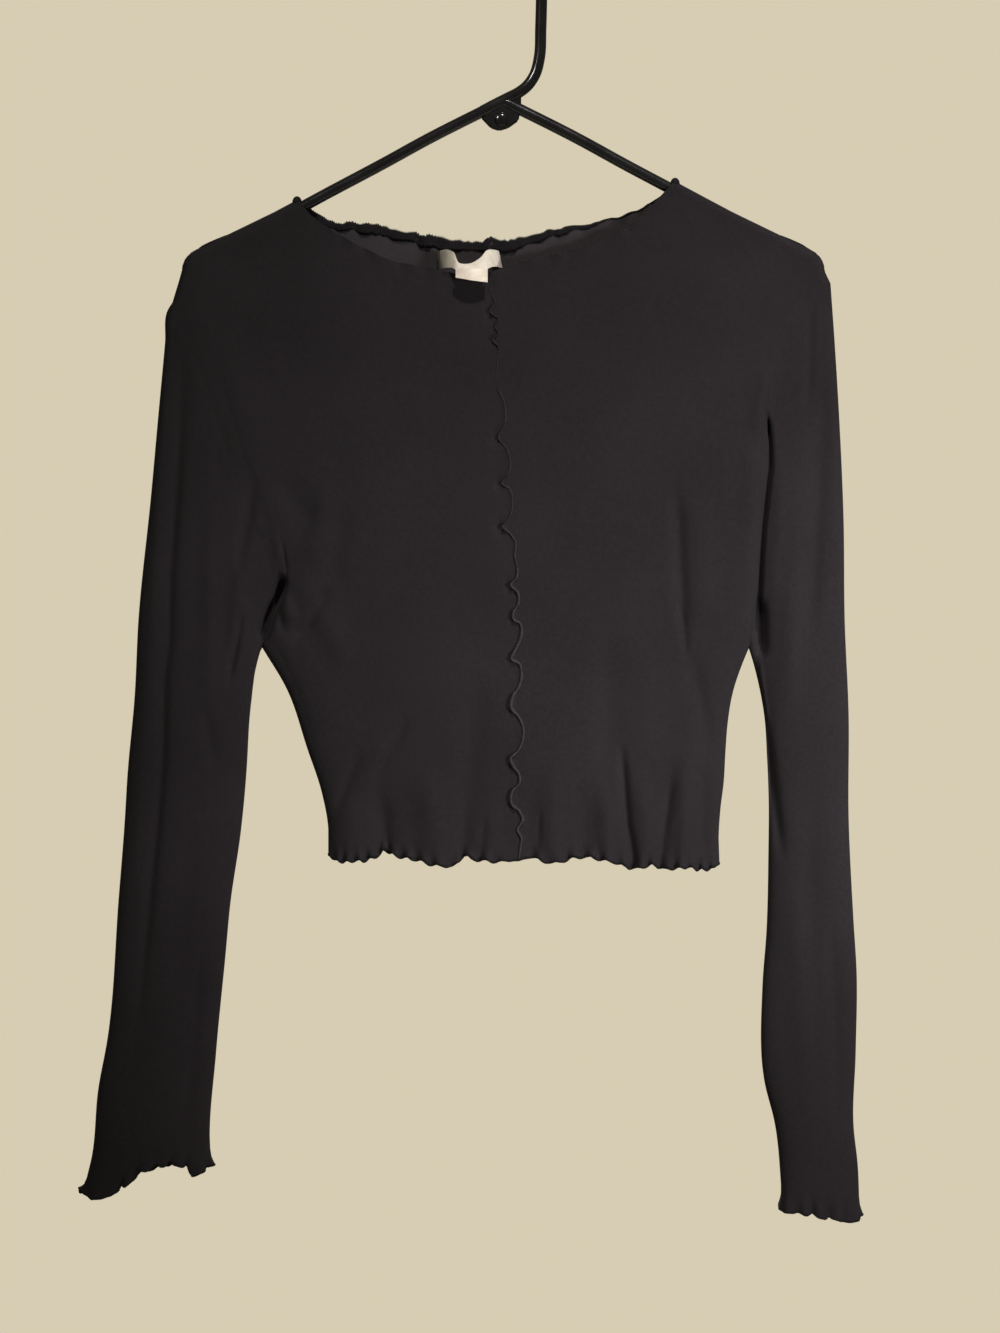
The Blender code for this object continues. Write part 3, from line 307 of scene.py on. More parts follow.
# ---- tables of the creases
# Soft ridges (height over 0) and troughs: height, width, path of x, z points as seen from the
# front, and its fade if that isn't CREASE_FADE
FRONT_CREASES = (
    # left armpit: the deep slot, the hollow under it and the pulls above it
    (-14, 2.9, ((-145.6, -409), (-147.2, -415), (-150.4, -425), (-154.6, -434), (-158.6, -445),
        (-160.6, -452)), 0.12),
    (-6, 2.4, ((-151.6, -424), (-156.6, -435), (-160.4, -446)), 0.4),
    (1.1, 3, ((-152, -378), (-149.5, -390), (-148, -403))),
    (-1.2, 1.5, ((-147.4, -384), (-145.6, -392.5), (-144.2, -402), (-143.8, -411))),
    (-1.6, 1.9, ((-149.4, -430), (-147.2, -440), (-142.8, -450.5)), 0.4),
    (-2.8, 4.2, ((-145, -447.5), (-138, -449), (-130, -443), (-121.5, -429), (-114, -414)), 0.25),
    (2, 4, ((-145, -420), (-142, -434), (-136, -440))),
    (2, 9, ((-138, -400), (-128, -424), (-112, -450), (-104, -476))),
    (-1.4, 9, ((-150, -340), (-136, -362), (-122, -384))),
    (2, 8, ((-116, -340), (-121, -372), (-128, -410))),
    (-1.2, 7, ((-104, -360), (-112, -395), (-108, -430))),
    # left sleeve: the pulls towards the armpit, and the long crease down to the cuff
    (-0.8, 5, ((-185, -305), (-187, -325), (-190, -350))),
    (-2.2, 4, ((-164, -342), (-168, -362), (-173, -390), (-176, -415))),
    (2, 6, ((-168, -380), (-176, -420), (-176, -470))),
    (-2.9, 1.9, ((-172.6, -428), (-174.8, -444), (-177.2, -457), (-181, -473), (-184, -485))),
    (-2.8, 3.6, ((-206, -225), (-213, -278), (-215, -322), (-218, -367), (-221, -410), (-222, -454),
        (-225, -478), (-226, -529), (-230, -575), (-236, -637), (-241, -692), (-247, -755))),
    (0.9, 5, ((-218, -250), (-225, -300), (-230, -380), (-234, -460), (-240, -540), (-247, -620),
        (-256, -700))),
    (-0.8, 6, ((-200, -345), (-201.5, -375), (-202, -420), (-200, -480))),
    (1.2, 7, ((-194, -360), (-195, -430), (-196, -520))),
    (-1.3, 4.5, ((-199, -490), (-196, -512), (-190, -540))),
    (-1.2, 8, ((-205, -560), (-212, -620), (-222, -700))),
    (1.2, 9, ((-214, -600), (-222, -680), (-236, -780))),
    (-1.3, 5, ((-200, -640), (-206, -720), (-212, -800))),
    # right armpit: the long dark slot and what runs along it
    (-8, 1.5, ((174, -298), (175.5, -308), (177, -322), (177.2, -338), (174.8, -357), (172.6, -377),
        (171.2, -397), (170.2, -418), (168.5, -439), (166.4, -453)), 0.1),
    (-7.5, 3.8, ((170.6, -420), (170.8, -436), (171, -450), (171.6, -468)), 0.35),
    (1.6, 4.5, ((176, -268), (173.5, -282), (170, -298), (168, -320))),
    (1.4, 6, ((165, -310), (166, -350), (163, -395), (158, -430))),
    (1.8, 6, ((184, -316), (183.5, -350), (180, -400), (177, -440))),
    (-1.8, 3, ((205, -222), (203.5, -250), (202.8, -280), (201.5, -305))),
    (-2.2, 6, ((213, -262), (211, -310), (208, -370), (205, -420), (201, -470))),
    (1.4, 7, ((195, -280), (193, -350), (190, -430), (192, -520))),
    (1.2, 1.8, ((168.5, -462), (170.6, -474), (173.4, -491), (177, -512)), 0.3),
    (-2.8, 3.6, ((173, -500), (176.5, -530), (181, -565), (186, -604))),
    (-1.2, 8, ((206, -540), (203, -600), (204, -680))),
    (1.3, 8, ((194, -600), (196, -680), (204, -780))),
    (-1.2, 5, ((216, -620), (220, -700), (222, -790))),
    # dimples at the left of the ruffle's kinks
    (-1.5, 2, ((-8.6, -226), (-10.2, -235), (-8.4, -243)), 0.4),
    (-1.4, 2, ((-8.8, -248), (-8, -256)), 0.4),
    (-1.6, 2.2, ((-3.6, -309), (-5.6, -318), (-3.4, -326)), 0.4),
    (-1.6, 2.2, ((-2, -341), (-3.8, -349), (-1.4, -355)), 0.4),
    (-1.6, 2.2, ((-1, -369), (-3.4, -377), (-0.6, -384)), 0.4),
    (-1.5, 2, ((4.6, -409), (2.4, -416), (4.4, -422)), 0.4),
    # right of the front
    (-2.6, 4.4, ((114, -340), (115.5, -370), (116.8, -400), (118.6, -430), (121, -462))),
    (-1.6, 2, ((117, -425), (119.5, -445), (122, -468))),
    (-1.8, 6, ((122, -452), (128, -480), (134, -505), (137, -540))),
    (1.4, 9, ((129, -350), (131, -400), (133, -450))),
    (-1.4, 9, ((67, -430), (69, -470), (70, -520), (69, -560))),
    (1.2, 10, ((92, -440), (94, -490), (92, -540))),
    # diagonals and soft troughs above the hem
    (-1.9, 3, ((-60, -500), (-68, -514), (-78, -530), (-88, -548))),
    (1.5, 6, ((-74, -512), (-86, -535), (-98, -560))),
    (-1.8, 3.2, ((-92, -520), (-99, -535), (-105, -550), (-114, -570))),
    (-1.8, 9, ((-14, -470), (-18, -500), (-23, -540), (-26, -580))),
    # the hem's folds
    (2.9, 11, ((-98, -540), (-101, -575), (-102, -640))),
    (-3.2, 6, ((-82, -545), (-79, -575), (-77, -640))),
    (2.9, 10, ((-52, -530), (-46, -575), (-42, -640))),
    (-1.9, 5, ((-24, -545), (-26, -580), (-26.5, -640)), 0.4),
    (1.6, 7, ((-8, -540), (-8, -580), (-8, -640)), 0.5),
    (-1, 2.4, ((-12, -566), (-13.5, -580), (-15, -600))),
    (-1.3, 6, ((20, -530), (19, -575), (18.4, -640)), 0.5),
    (-1.1, 1.8, ((24.6, -562), (23.7, -576), (22.6, -592)), 0.35),
    (2, 7, ((35, -525), (32, -575), (31, -640)), 0.5),
    (-1.1, 8, ((48, -530), (53, -580), (54, -640)), 0.5),
    (2.6, 7, ((67, -540), (69, -580), (70, -640))),
    (-3.2, 3.1, ((78, -516), (79.5, -540), (82, -574), (87, -600), (90, -640)), 0.2),
    (2.4, 7, ((90, -530), (93, -575), (95, -640))),
    (-2.5, 3.4, ((113, -530), (109, -560), (104, -595), (102, -640))),
    (3.2, 7, ((121, -515), (120, -560), (119, -640))),
    (-2.4, 5.5, ((134, -530), (132, -570), (131, -640))),
)
BACK_CREASES = (
    (-2, 5, ((-138, -380), (-141, -410), (-148, -436), (-158, -456))),
    (-2, 4, ((160, -310), (163, -345), (160, -395), (158, -430), (160, -462))),
    (2.2, 10, ((-150, -360), (-128, -410), (-100, -440))),
    (-2.4, 8, ((-150, -400), (-124, -440), (-92, -462))),
    (2.2, 10, ((160, -350), (134, -405), (104, -440))),
    (-2.2, 8, ((158, -410), (130, -446), (96, -470))),
    (-1.6, 12, ((-40, -240), (-44, -320), (-38, -400))),
    (1.6, 14, ((30, -230), (36, -320), (30, -420))),
    (-1.6, 12, ((84, -250), (90, -330), (86, -400))),
    (-2.4, 5, ((-205, -250), (-214, -340), (-221, -450), (-232, -580), (-246, -720))),
    (-2.2, 6, ((-176, -330), (-184, -400), (-196, -470))),
    (1.8, 8, ((-200, -330), (-208, -430), (-214, -540))),
    (-2, 6, ((-190, -480), (-208, -560), (-226, -640))),
    (-2.4, 5, ((208, -240), (208, -340), (206, -450), (210, -560))),
    (1.8, 8, ((194, -300), (194, -400), (198, -520))),
    (-2, 6, ((180, -500), (196, -580), (214, -660))),
    (-4, 9, ((-96, -470), (-92, -540), (-88, -640))),
    (3.8, 10, ((-62, -490), (-60, -550), (-58, -640))),
    (-4, 9, ((-26, -480), (-23, -540), (-20, -640))),
    (3.4, 10, ((14, -500), (17, -560), (18, -640))),
    (-4.2, 9, ((50, -470), (54, -540), (56, -640))),
    (3.8, 9, ((90, -490), (94, -550), (96, -640))),
    (-3, 7, ((121, -510), (123, -560), (124, -640))),
    (3, 7, ((-106, -520), (-107, -570), (-107, -640))),
)
CREASES = {"front": FRONT_CREASES, "back": BACK_CREASES}
# The cloth's slow unevenness: height, mm to a radian across and down, and its start in radians
UNEVEN = (
    (0.50, 31, 90, 0.4), (0.35, -19, 140, 1.7), (0.30, 47, -53, 2.9), (0.18, 13, 61, 4.1)
)
FACES = {"front": -1.0, "back": 1.0}
SIDES = {"left": -1.0, "right": 1.0}


# ---- numbers and curves
def mix(a, b, t):
    return a + (b - a) * t


def ease(t):
    """0 to 1 with level ends."""
    t = np.clip(t, 0.0, 1.0)
    return t * t * (3 - 2 * t)


def read_table(rows, at, column=1):
    """Values of a column, read between the rows of a table."""
    rows = np.array(sorted(rows), float)
    return np.interp(at, rows[:, 0], rows[:, column])


def unit(vectors):
    return vectors / np.linalg.norm(vectors, axis=-1, keepdims=True)


def marks_of(line):
    """Distance along a line at each of its points."""
    return np.concatenate(([0], np.cumsum(np.linalg.norm(np.diff(line, axis=0), axis=1))))


def smooth_curve(points):
    """A function from fractions of a smooth curve's length, as an array, to its points."""
    spots = np.array(points, float)
    marks = marks_of(spots)
    steps = np.linalg.norm(np.diff(spots, axis=0), axis=1)
    chords = np.diff(spots, axis=0) / steps[:, None]
    weight = (steps[:-1] / (steps[:-1] + steps[1:]))[:, None]
    slopes = np.vstack((chords[:1], mix(chords[:-1], chords[1:], weight), chords[-1:]))

    def place(t):
        s = np.clip(np.asarray(t, float), 0, 1) * marks[-1]
        i = np.clip(np.searchsorted(marks, s, side="right") - 1, 0, len(steps) - 1)
        r = ((s - marks[i]) / steps[i])[..., None]
        run = steps[i][..., None]
        near = spots[i] * (2 * r**3 - 3 * r**2 + 1) + slopes[i] * run * (r**3 - 2 * r**2 + r)
        far = spots[i + 1] * (3 * r**2 - 2 * r**3) + slopes[i + 1] * run * (r**3 - r**2)
        return near + far

    return place


def curve_points(points, count):
    """Points at even distances along a smooth curve."""
    return smooth_curve(points)(np.linspace(0, 1, count))


def direction(curve, t, step=0.004):
    """Unit tangents of a curve function."""
    t = np.asarray(t, float)
    return unit(curve(np.minimum(t + step, 1)) - curve(np.maximum(t - step, 0)))


def inward(heading, side):
    """Unit vectors square to headings, on the side of the garment's middle."""
    square = np.stack((-heading[..., 1], heading[..., 0]), axis=-1)
    return square * np.where(square[..., :1] * SIDES[side] > 0, -1, 1)


def line_distance(x, z, line):
    """Distance of points from a line of x, z points, and the share of its length they are at."""
    line = np.array(line, float)
    lengths = np.linalg.norm(np.diff(line, axis=0), axis=1)
    best = np.full(np.shape(x), np.inf)
    share = np.zeros(np.shape(x))
    done = 0.0
    for a, b, length in zip(line, line[1:], lengths):
        run = (b - a) / length
        along = np.clip((x - a[0]) * run[0] + (z - a[1]) * run[1], 0, length)
        away = np.hypot(x - a[0] - along * run[0], z - a[1] - along * run[1])
        share = np.where(away < best, (done + along) / lengths.sum(), share)
        best = np.minimum(best, away)
        done += length
    return best, share


def crease_height(face, x, z):
    """Height of the creases and of the slow unevenness at points seen from the front."""
    total = np.zeros(np.shape(x))
    for height, width, path, *own_fade in CREASES[face]:
        fade = own_fade[0] if own_fade else CREASE_FADE
        away, share = line_distance(x, z, path)
        ends = ease(share / fade) * ease((1 - share) / fade)
        total += height * ends * np.exp(-((away / width) ** 2))
    for height, across, down, start in UNEVEN:
        total += height * np.sin(x / across + z / down + start * FACES[face])
    return total


def creased(face, x, z, depth):
    """Depth of the cloth with its creases, which die away at the hanger and where it is shallow."""
    low = np.minimum(*(line_distance(x, z, LINES[side]["fold"])[0] for side in SIDES))
    fade = ease(depth / CREASE_CLEAR) * ease((low - WRAP_R) / FOLD_FADE)
    high = depth + crease_height(face, x, z) * fade
    return np.maximum(high, np.minimum(depth, SEAM_EDGE * 2) - SLOT_DEEP[face] * depth)


def uneven(edge, along, seed):
    """Factor near 1 that makes an edge's ripples unlike each other."""
    run = along * RIPPLE_RUN[edge]
    return sum((high * np.sin(run * turn + share * seed) for high, turn, share in RIPPLES), 1)


# ---- lines of the hanger and the seams
def arm_line():
    """Centre line of the right arm with its rounded end, and the middle of that end."""
    arm = np.array(HANGER_ARM, float)
    heading = unit(arm[-1] - arm[-2])
    centre = arm[-1] + np.array((heading[1], -heading[0])) * TIP_R
    start = atan2(*(arm[-1] - centre))
    angles = np.linspace(start, pi, TIP_STEPS)[1:]
    tip = centre + np.stack((np.sin(angles), np.cos(angles)), axis=1) * TIP_R
    return arm, tip, centre, start


def shoulder_fold(side):
    """Fold of the cloth over the hanger's arm, from the middle out to the armhole seam."""
    arm, _, centre, start = arm_line()
    rise = unit(np.gradient(arm, axis=0))
    line = list(arm + np.stack((-rise[:, 1], rise[:, 0]), axis=1) * WRAP_R)
    for angle in np.radians(FOLD_TURNS):
        if angle > start:
            line.append(centre + np.array((np.sin(angle), np.cos(angle))) * (TIP_R + WRAP_R))
    line = [(SIDES[side] * p[0], p[1]) for p in line]
    return np.array(line + [SHOULDER_END[side]], float)


def side_lines(side):
    """The curves that the body and the sleeve of one side share."""
    fold = shoulder_fold(side)
    outer = [tuple(p) for p in fold if abs(p[0]) > abs(NECK_POINT[side][0]) + NECK_CLEAR]
    points = [NECK_POINT[side]] + outer
    shoulder = smooth_curve(points)
    marks = marks_of(points)
    tip = (marks / marks[-1])[-TIP_COLUMNS - 1:]
    arm_columns = SHOULDER_COLUMNS - TIP_COLUMNS
    stations = np.concatenate((tip[0] * np.arange(arm_columns) / arm_columns, tip))
    out = inward(direction(shoulder, 1.0), side)
    top = np.array(SHOULDER_END[side]) + out * WRAP_R
    return {
        "fold": fold,
        "shoulder": shoulder,
        "stations": stations,
        "inward": out,
        "armhole": smooth_curve((tuple(top), *ARMHOLE[side], ARMPIT[side])),
        "side_seam": smooth_curve((ARMPIT[side], *SIDE_SEAM[side], HEM_CORNER[side])),
        "outer": smooth_curve((SHOULDER_END[side], *SLEEVE_OUTER[side])),
        "inner": smooth_curve((ARMPIT[side], *SLEEVE_INNER[side])),
    }


LINES = {side: side_lines(side) for side in SIDES}
CENTRE = smooth_curve(CENTRE_SEAM)


# ---- body
def top_edge(side, face, w):
    """Points of the neck and shoulder edge, and the way into the panel from them."""
    lines = LINES[side]
    neck = smooth_curve((NECK_CENTRE[face], *NECK[side, face], NECK_POINT[side]))(w / NECK_W)
    place = np.clip((w - NECK_W) / (1 - NECK_W) * SHOULDER_COLUMNS, 0, SHOULDER_COLUMNS)
    t = np.interp(place, np.arange(SHOULDER_COLUMNS + 1), lines["stations"])
    into = inward(direction(lines["shoulder"], t), side)
    into = unit(mix(np.array((0.0, -1.0)), into, ease(place)[:, None]))
    on_neck = (w < NECK_W - NEAR)[:, None]
    spots = np.where(on_neck, neck, lines["shoulder"](t))
    return spots, np.where(on_neck, np.array((0.0, -1.0)), into)


def body_depth(side, face, w, x, z, edge_depth, roundness):
    """Half depth of the body with its creases; it narrows towards the outer edge."""
    low, _ = line_distance(x, z, LINES[side]["fold"])
    full = read_table(BODY_DEPTH, z, 1 if face == "front" else 2)
    full = mix(WRAP_R, full, ease((low - WRAP_R) / DEPTH_RUN))
    round_off = np.maximum(1 - w**PANEL_SQUARE, 0) ** mix(1.0, 0.5, roundness)
    on_tube = np.sqrt(np.maximum(WRAP_R**2 - (WRAP_R - np.minimum(low, WRAP_R)) ** 2, 0))
    free = creased(face, x, z, mix(edge_depth, full, round_off))
    return np.where(low < WRAP_R, np.maximum(on_tube, SEAM_EDGE), free)


def panel_grid(side, face):
    """Grid of points of one half of the front or back: rows from the top edge to the hem."""
    lines = LINES[side]
    flip = SIDES[side]
    w = np.concatenate((np.linspace(0, NECK_W, NECK_FINE, endpoint=False),
                        np.linspace(NECK_W, 1, SHOULDER_FINE)))
    edge, into = top_edge(side, face, w)
    low, _ = line_distance(edge[:, 0], edge[:, 1], lines["fold"])
    free = np.where(w < NECK_W - NEAR, np.minimum(low / WRAP_R, 1), 0)
    slant = np.where(w < NECK_W + NEAR, NECK_SLANT, 1)
    rows = []

    def add_row(spot, edge_depth, roundness, wave=(0.0, 0.0), share=0.0, phase=0.0):
        """Adds a row at its depth, with its share of the edge's ripples."""
        depth = body_depth(side, face, w, spot[:, 0], spot[:, 1], edge_depth, roundness)
        depth = depth + wave[0] * share * np.sin(phase)
        high = spot[:, 1] + wave[1] * share * np.sin(phase + WAVE_LAG)
        rows.append(np.stack((spot[:, 0], FACES[face] * depth, high), axis=1))

    calm = ease((NECK_W - w) * NECK_CALM) * uneven("neck", w, 1.0 + flip + FACES[face])
    phase = 2 * pi * NECK_COLUMNS * w / NECK_W * flip
    phase = phase + NECK_SHIFT[0] * np.sin(phase * NECK_SHIFT[1] + flip)
    for k in range(WRAP_FINE):
        angle = pi / 2 * k / (WRAP_FINE - 1)
        drop = mix(slant * WRAP_R * (1 - np.cos(angle)), NECK_DROP * k / (WRAP_FINE - 1), free)
        top = edge + into * drop[:, None]
        add_row(top, WRAP_R, 1.0, NECK_WAVE[face], calm * read_table(NECK_FALL, drop), phase)

    across = mix(w, np.sin(w * pi / 2), COLUMN_SPREAD)
    hem = smooth_curve((HEM_CENTRE[face], *HEM[side, face], HEM_CORNER[side]))(across)
    centre_run = CENTRE(1.0)[1] - CENTRE(0.0)[1]
    centre_top = (top[0, 1] - CENTRE(0.0)[1]) / centre_run

    def patch(v):
        outer = (lines["armhole"](v / ARMPIT_V) if v <= ARMPIT_V
                 else lines["side_seam"]((v - ARMPIT_V) / (1 - ARMPIT_V)))
        a = across[:, None]
        spot = top * (1 - v) + hem * v + CENTRE(mix(centre_top, 1, v)) * (1 - a) + outer * a
        spot -= (top[0] * (1 - a) + top[-1] * a) * (1 - v)
        return spot - (hem[0] * (1 - a) + hem[-1] * a) * v

    levels = np.concatenate((np.linspace(0, ARMPIT_V, ARM_FINE)[1:],
                             np.linspace(ARMPIT_V, SIDE_END, SIDE_FINE)[1:]))
    for v in levels:
        at_edge = read_table(ARMHOLE_DEPTH[side], v / ARMPIT_V) if v < ARMPIT_V else SEAM_EDGE
        add_row(patch(v), at_edge, ease((v / ARMPIT_V - EDGE_ROUND) / (1 - EDGE_ROUND)))

    base, above = patch(1.0), patch(SIDE_END)
    base = base + unit(above - base) * EDGE_TRIM
    phase = 2 * pi * HEM_WAVES * w * flip
    calm = ease(w * HEM_CALM) * ease((1 - w) * HEM_CALM)
    calm = calm * uneven("hem", w, 2.0 + flip - FACES[face])
    for drop in np.linspace(HEM_DROP, 0, HEM_FINE):
        spot = base + unit(above - base) * drop
        add_row(spot, SEAM_EDGE, 1.0, HEM_WAVE, calm * read_table(HEM_FALL, drop), phase)
    return np.array(rows)


# ---- sleeves
def sleeve_seam(side, s):
    """Points and depths of the armhole seam, for shares of half a ring from shoulder to armpit."""
    lines = LINES[side]
    place = s * (WRAP_STATIONS + len(ARM_STATIONS) - 1)
    t = np.interp(place - WRAP_STATIONS, np.arange(len(ARM_STATIONS)), ARM_STATIONS)
    below = lines["armhole"](t) + inward(direction(lines["armhole"], t), side) * JOIN_LAP
    below_depth = read_table(ARMHOLE_DEPTH[side], t)
    angle = np.radians(np.minimum(place, WRAP_STATIONS) * WRAP_STATION)
    low = (WRAP_R * (1 - np.cos(angle)))[:, None]
    down = np.array((lines["inward"][1], -lines["inward"][0]))
    down = down if down[1] < 0 else -down
    over = np.array(SHOULDER_END[side]) + lines["inward"] * low - down * JOIN_LAP
    round_tube = place < WRAP_STATIONS
    spots = np.where(round_tube[:, None], over, below)
    return spots, np.where(round_tube, WRAP_R * np.sin(angle), below_depth)


def oval(s):
    """Place across a sleeve and depth there, 0 to 1, for shares of half a ring."""
    turn = np.cos(pi * s)
    power = 2 / SLEEVE_OVAL
    return (1 - np.sign(turn) * np.abs(turn) ** power) / 2, np.abs(np.sin(pi * s)) ** power


def sleeve_ring(side, r, with_seam=True):
    """One closed ring of a sleeve: points down the front from the outer fold, and up the back."""
    lines = LINES[side]
    s = np.linspace(0, 1, SLEEVE_HALF + 1)
    across, deep = oval(s)
    across = across[:, None]
    depth = read_table(SLEEVE_DEPTH, r) * deep
    spot = mix(lines["outer"](r), lines["inner"](r**ARMPIT_PACKING), across)
    if with_seam:
        seam, seam_depth = sleeve_seam(side, s)
        chord = mix(lines["outer"](0.0), lines["inner"](0.0), across)
        spot = spot + (seam - chord) * (1 - ease(r / SLEEVE_BLEND))
        depth = mix(seam_depth, depth, ease(r / SLEEVE_ROUND))
    halves = []
    for face in FACES:
        high = creased(face, spot[:, 0], spot[:, 1], depth)
        halves.append(np.stack((spot[:, 0], FACES[face] * high, spot[:, 1]), axis=1))
    front, back = halves
    front[[0, -1], 1] = 0.0
    return np.vstack((front, back[-2:0:-1]))


def sleeve_grid(side):
    """Rings of a sleeve from the armhole to the rippled cuff."""
    rings = [sleeve_ring(side, r)
             for r in np.linspace(0, 1, SLEEVE_FINE)**SLEEVE_PACKING * SLEEVE_END]
    edge = sleeve_ring(side, 1.0, with_seam=False)
    above = sleeve_ring(side, CUFF_RUN, with_seam=False)
    h = np.arange(len(edge))
    front = h <= SLEEVE_HALF
    s = np.where(front, h, len(edge) - h) / SLEEVE_HALF
    rise = read_table(CUFF_RISE[side], oval(s)[0]) + EDGE_TRIM
    notches = CUFF_NOTCHES[side]
    phase = 2 * pi * np.interp(edge[:, 0], notches, np.arange(len(notches)))
    calm = ease(np.minimum(s, 1 - s) * CUFF_CALM)
    wave = -np.cos(phase + np.where(front, 0.0, CUFF_LAG)) * calm
    wave = wave * uneven("cuff", h, 3.0 + SIDES[side])
    wave_out, wave_up = CUFF_WAVE[side]
    lobes = read_table(CUFF_EDGE[side], edge[:, 0]) + EDGE_TRIM + CUFF_TRIM[side]
    lobes = lobes - edge[:, 2] - rise
    nearest = np.abs(edge[:, 0] - np.array(notches)[:, None]).min(axis=0)
    lobes = lobes + NOTCH_RISE[side] * np.exp(-((nearest / NOTCH_WIDTH) ** 2))
    lobes = np.where(front, lobes, wave_up * wave * calm + mix(lobes, 0, calm))
    middle = (edge[0] + edge[SLEEVE_HALF]) / 2
    out = unit((edge - middle) * np.array((1.0, CUFF_OUT, 0.0)))
    up = unit(above - edge)
    flare = CUFF_FLARE * np.abs(np.cos(pi * s)) ** FLARE_SQUARE
    for drop in CUFF_ROWS:
        share = read_table(CUFF_FALL, drop)
        ring = edge + up * (drop + rise)[:, None]
        ring = ring + out * ((wave_out * wave + flare) * share)[:, None]
        ring[:, 2] += lobes * share
        rings.append(ring)
    return np.array(rings)


# ---- meshes
def grid_mesh(name, grid, closed=False):
    """Mesh over rows of points in mm, with lengths along and across in metres as its UV map."""
    rows, columns, _ = grid.shape
    last = columns if closed else columns - 1
    i, j = np.meshgrid(np.arange(rows - 1), np.arange(last), indexing="ij")
    k = (j + 1) % columns
    faces = np.stack((i * columns + j, (i + 1) * columns + j, (i + 1) * columns + k,
                      i * columns + k), axis=-1).reshape(-1, 4)
    mesh = bpy.data.meshes.new(name)
    mesh.from_pydata((grid.reshape(-1, 3) * MM).tolist(), [], faces.tolist())
    wrapped = np.concatenate((grid, grid[:, :1]), axis=1) if closed else grid
    u = np.cumsum(np.linalg.norm(np.diff(wrapped, axis=1), axis=2).mean(axis=0))
    v = np.cumsum(np.linalg.norm(np.diff(grid, axis=0), axis=2).mean(axis=1))
    u, v = np.concatenate(([0], u)) * MM, np.concatenate(([0], v)) * MM
    corners = np.stack((np.stack((u[j], v[i]), -1), np.stack((u[j], v[i + 1]), -1),
                        np.stack((u[j + 1], v[i + 1]), -1), np.stack((u[j + 1], v[i]), -1)), axis=2)
    layer = mesh.uv_layers.new(name="cloth")
    layer.data.foreach_set("uv", corners.reshape(-1).astype(np.float32))
    mesh.shade_smooth()
    return mesh


def swept_mesh(name, path, radii, up, closed=False):
    """Tube along a path, with a row of radii for each of its rings; up is square to the path."""
    path = np.asarray(path, float)
    if closed:
        tangent = unit(np.roll(path, -1, axis=0) - np.roll(path, 1, axis=0))
    else:
        tangent = unit(np.gradient(path, axis=0))
    side = unit(np.cross(tangent, np.array(up, float)))
    top = np.cross(side, tangent)
    angles = 2 * pi * np.arange(radii.shape[1]) / radii.shape[1]
    rings = (path[:, None] + side[:, None] * (radii * np.cos(angles))[..., None]
             + top[:, None] * (radii * np.sin(angles))[..., None])
    if closed:
        rings = np.concatenate((rings, rings[:1]))
    else:
        rings = np.concatenate((path[:1, None].repeat(radii.shape[1], 1), rings,
                                path[-1:, None].repeat(radii.shape[1], 1)))
    mesh = grid_mesh(name, rings, closed=True)
    bm = bmesh.new()
    bm.from_mesh(mesh)
    bmesh.ops.remove_doubles(bm, verts=bm.verts, dist=1e-6)
    bmesh.ops.recalc_face_normals(bm, faces=bm.faces)
    bm.to_mesh(mesh)
    bm.free()
    return mesh


def add_ball(bm, radius, split, stretch, place):
    """Adds a stretched ball; its radius and its place are in mm."""
    ball = bmesh.ops.create_uvsphere(bm, u_segments=split, v_segments=BALL_RINGS,
                                     radius=radius * MM)["verts"]
    bmesh.ops.scale(bm, vec=stretch, verts=ball)
    bmesh.ops.translate(bm, vec=[value * MM for value in place], verts=ball)


def finish_mesh(bm, name):
    """A smooth mesh of a bmesh, which isn't needed any more."""
    mesh = bpy.data.meshes.new(name)
    bm.to_mesh(mesh)
    bm.free()
    mesh.shade_smooth()
    return mesh


def add_object(name, data):
    made = bpy.data.objects.new(name, data)
    bpy.context.scene.collection.objects.link(made)
    return made


def add_piece(name, mesh, coat, nodes=(), shell=0.0, inside=None):
    """Object of the scene that rides on the part's one body."""
    piece = add_object(name, mesh)
    mesh.materials.append(coat)
    if shell:
        bm = bmesh.new()
        bm.from_mesh(mesh)
        for edge in bm.edges:
            edge.smooth = not edge.is_boundary
        bm.to_mesh(mesh)
        bm.free()
        wall = piece.modifiers.new("shell", "SOLIDIFY")
        wall.thickness = shell * MM
        wall.offset = 0.0
        if inside:
            mesh.materials.append(inside)
            wall.material_offset = 1
    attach(piece, "root")
    if nodes:
        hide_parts(*nodes)
    return piece


def add_sheet(name, grid, coat, node, shell=SHELL, inside=None, closed=False):
    """Thin piece over rows of points, in the place of a solid."""
    mesh = grid_mesh(name, np.array(grid), closed)
    return add_piece(name, mesh, coat, (node,), shell, inside)


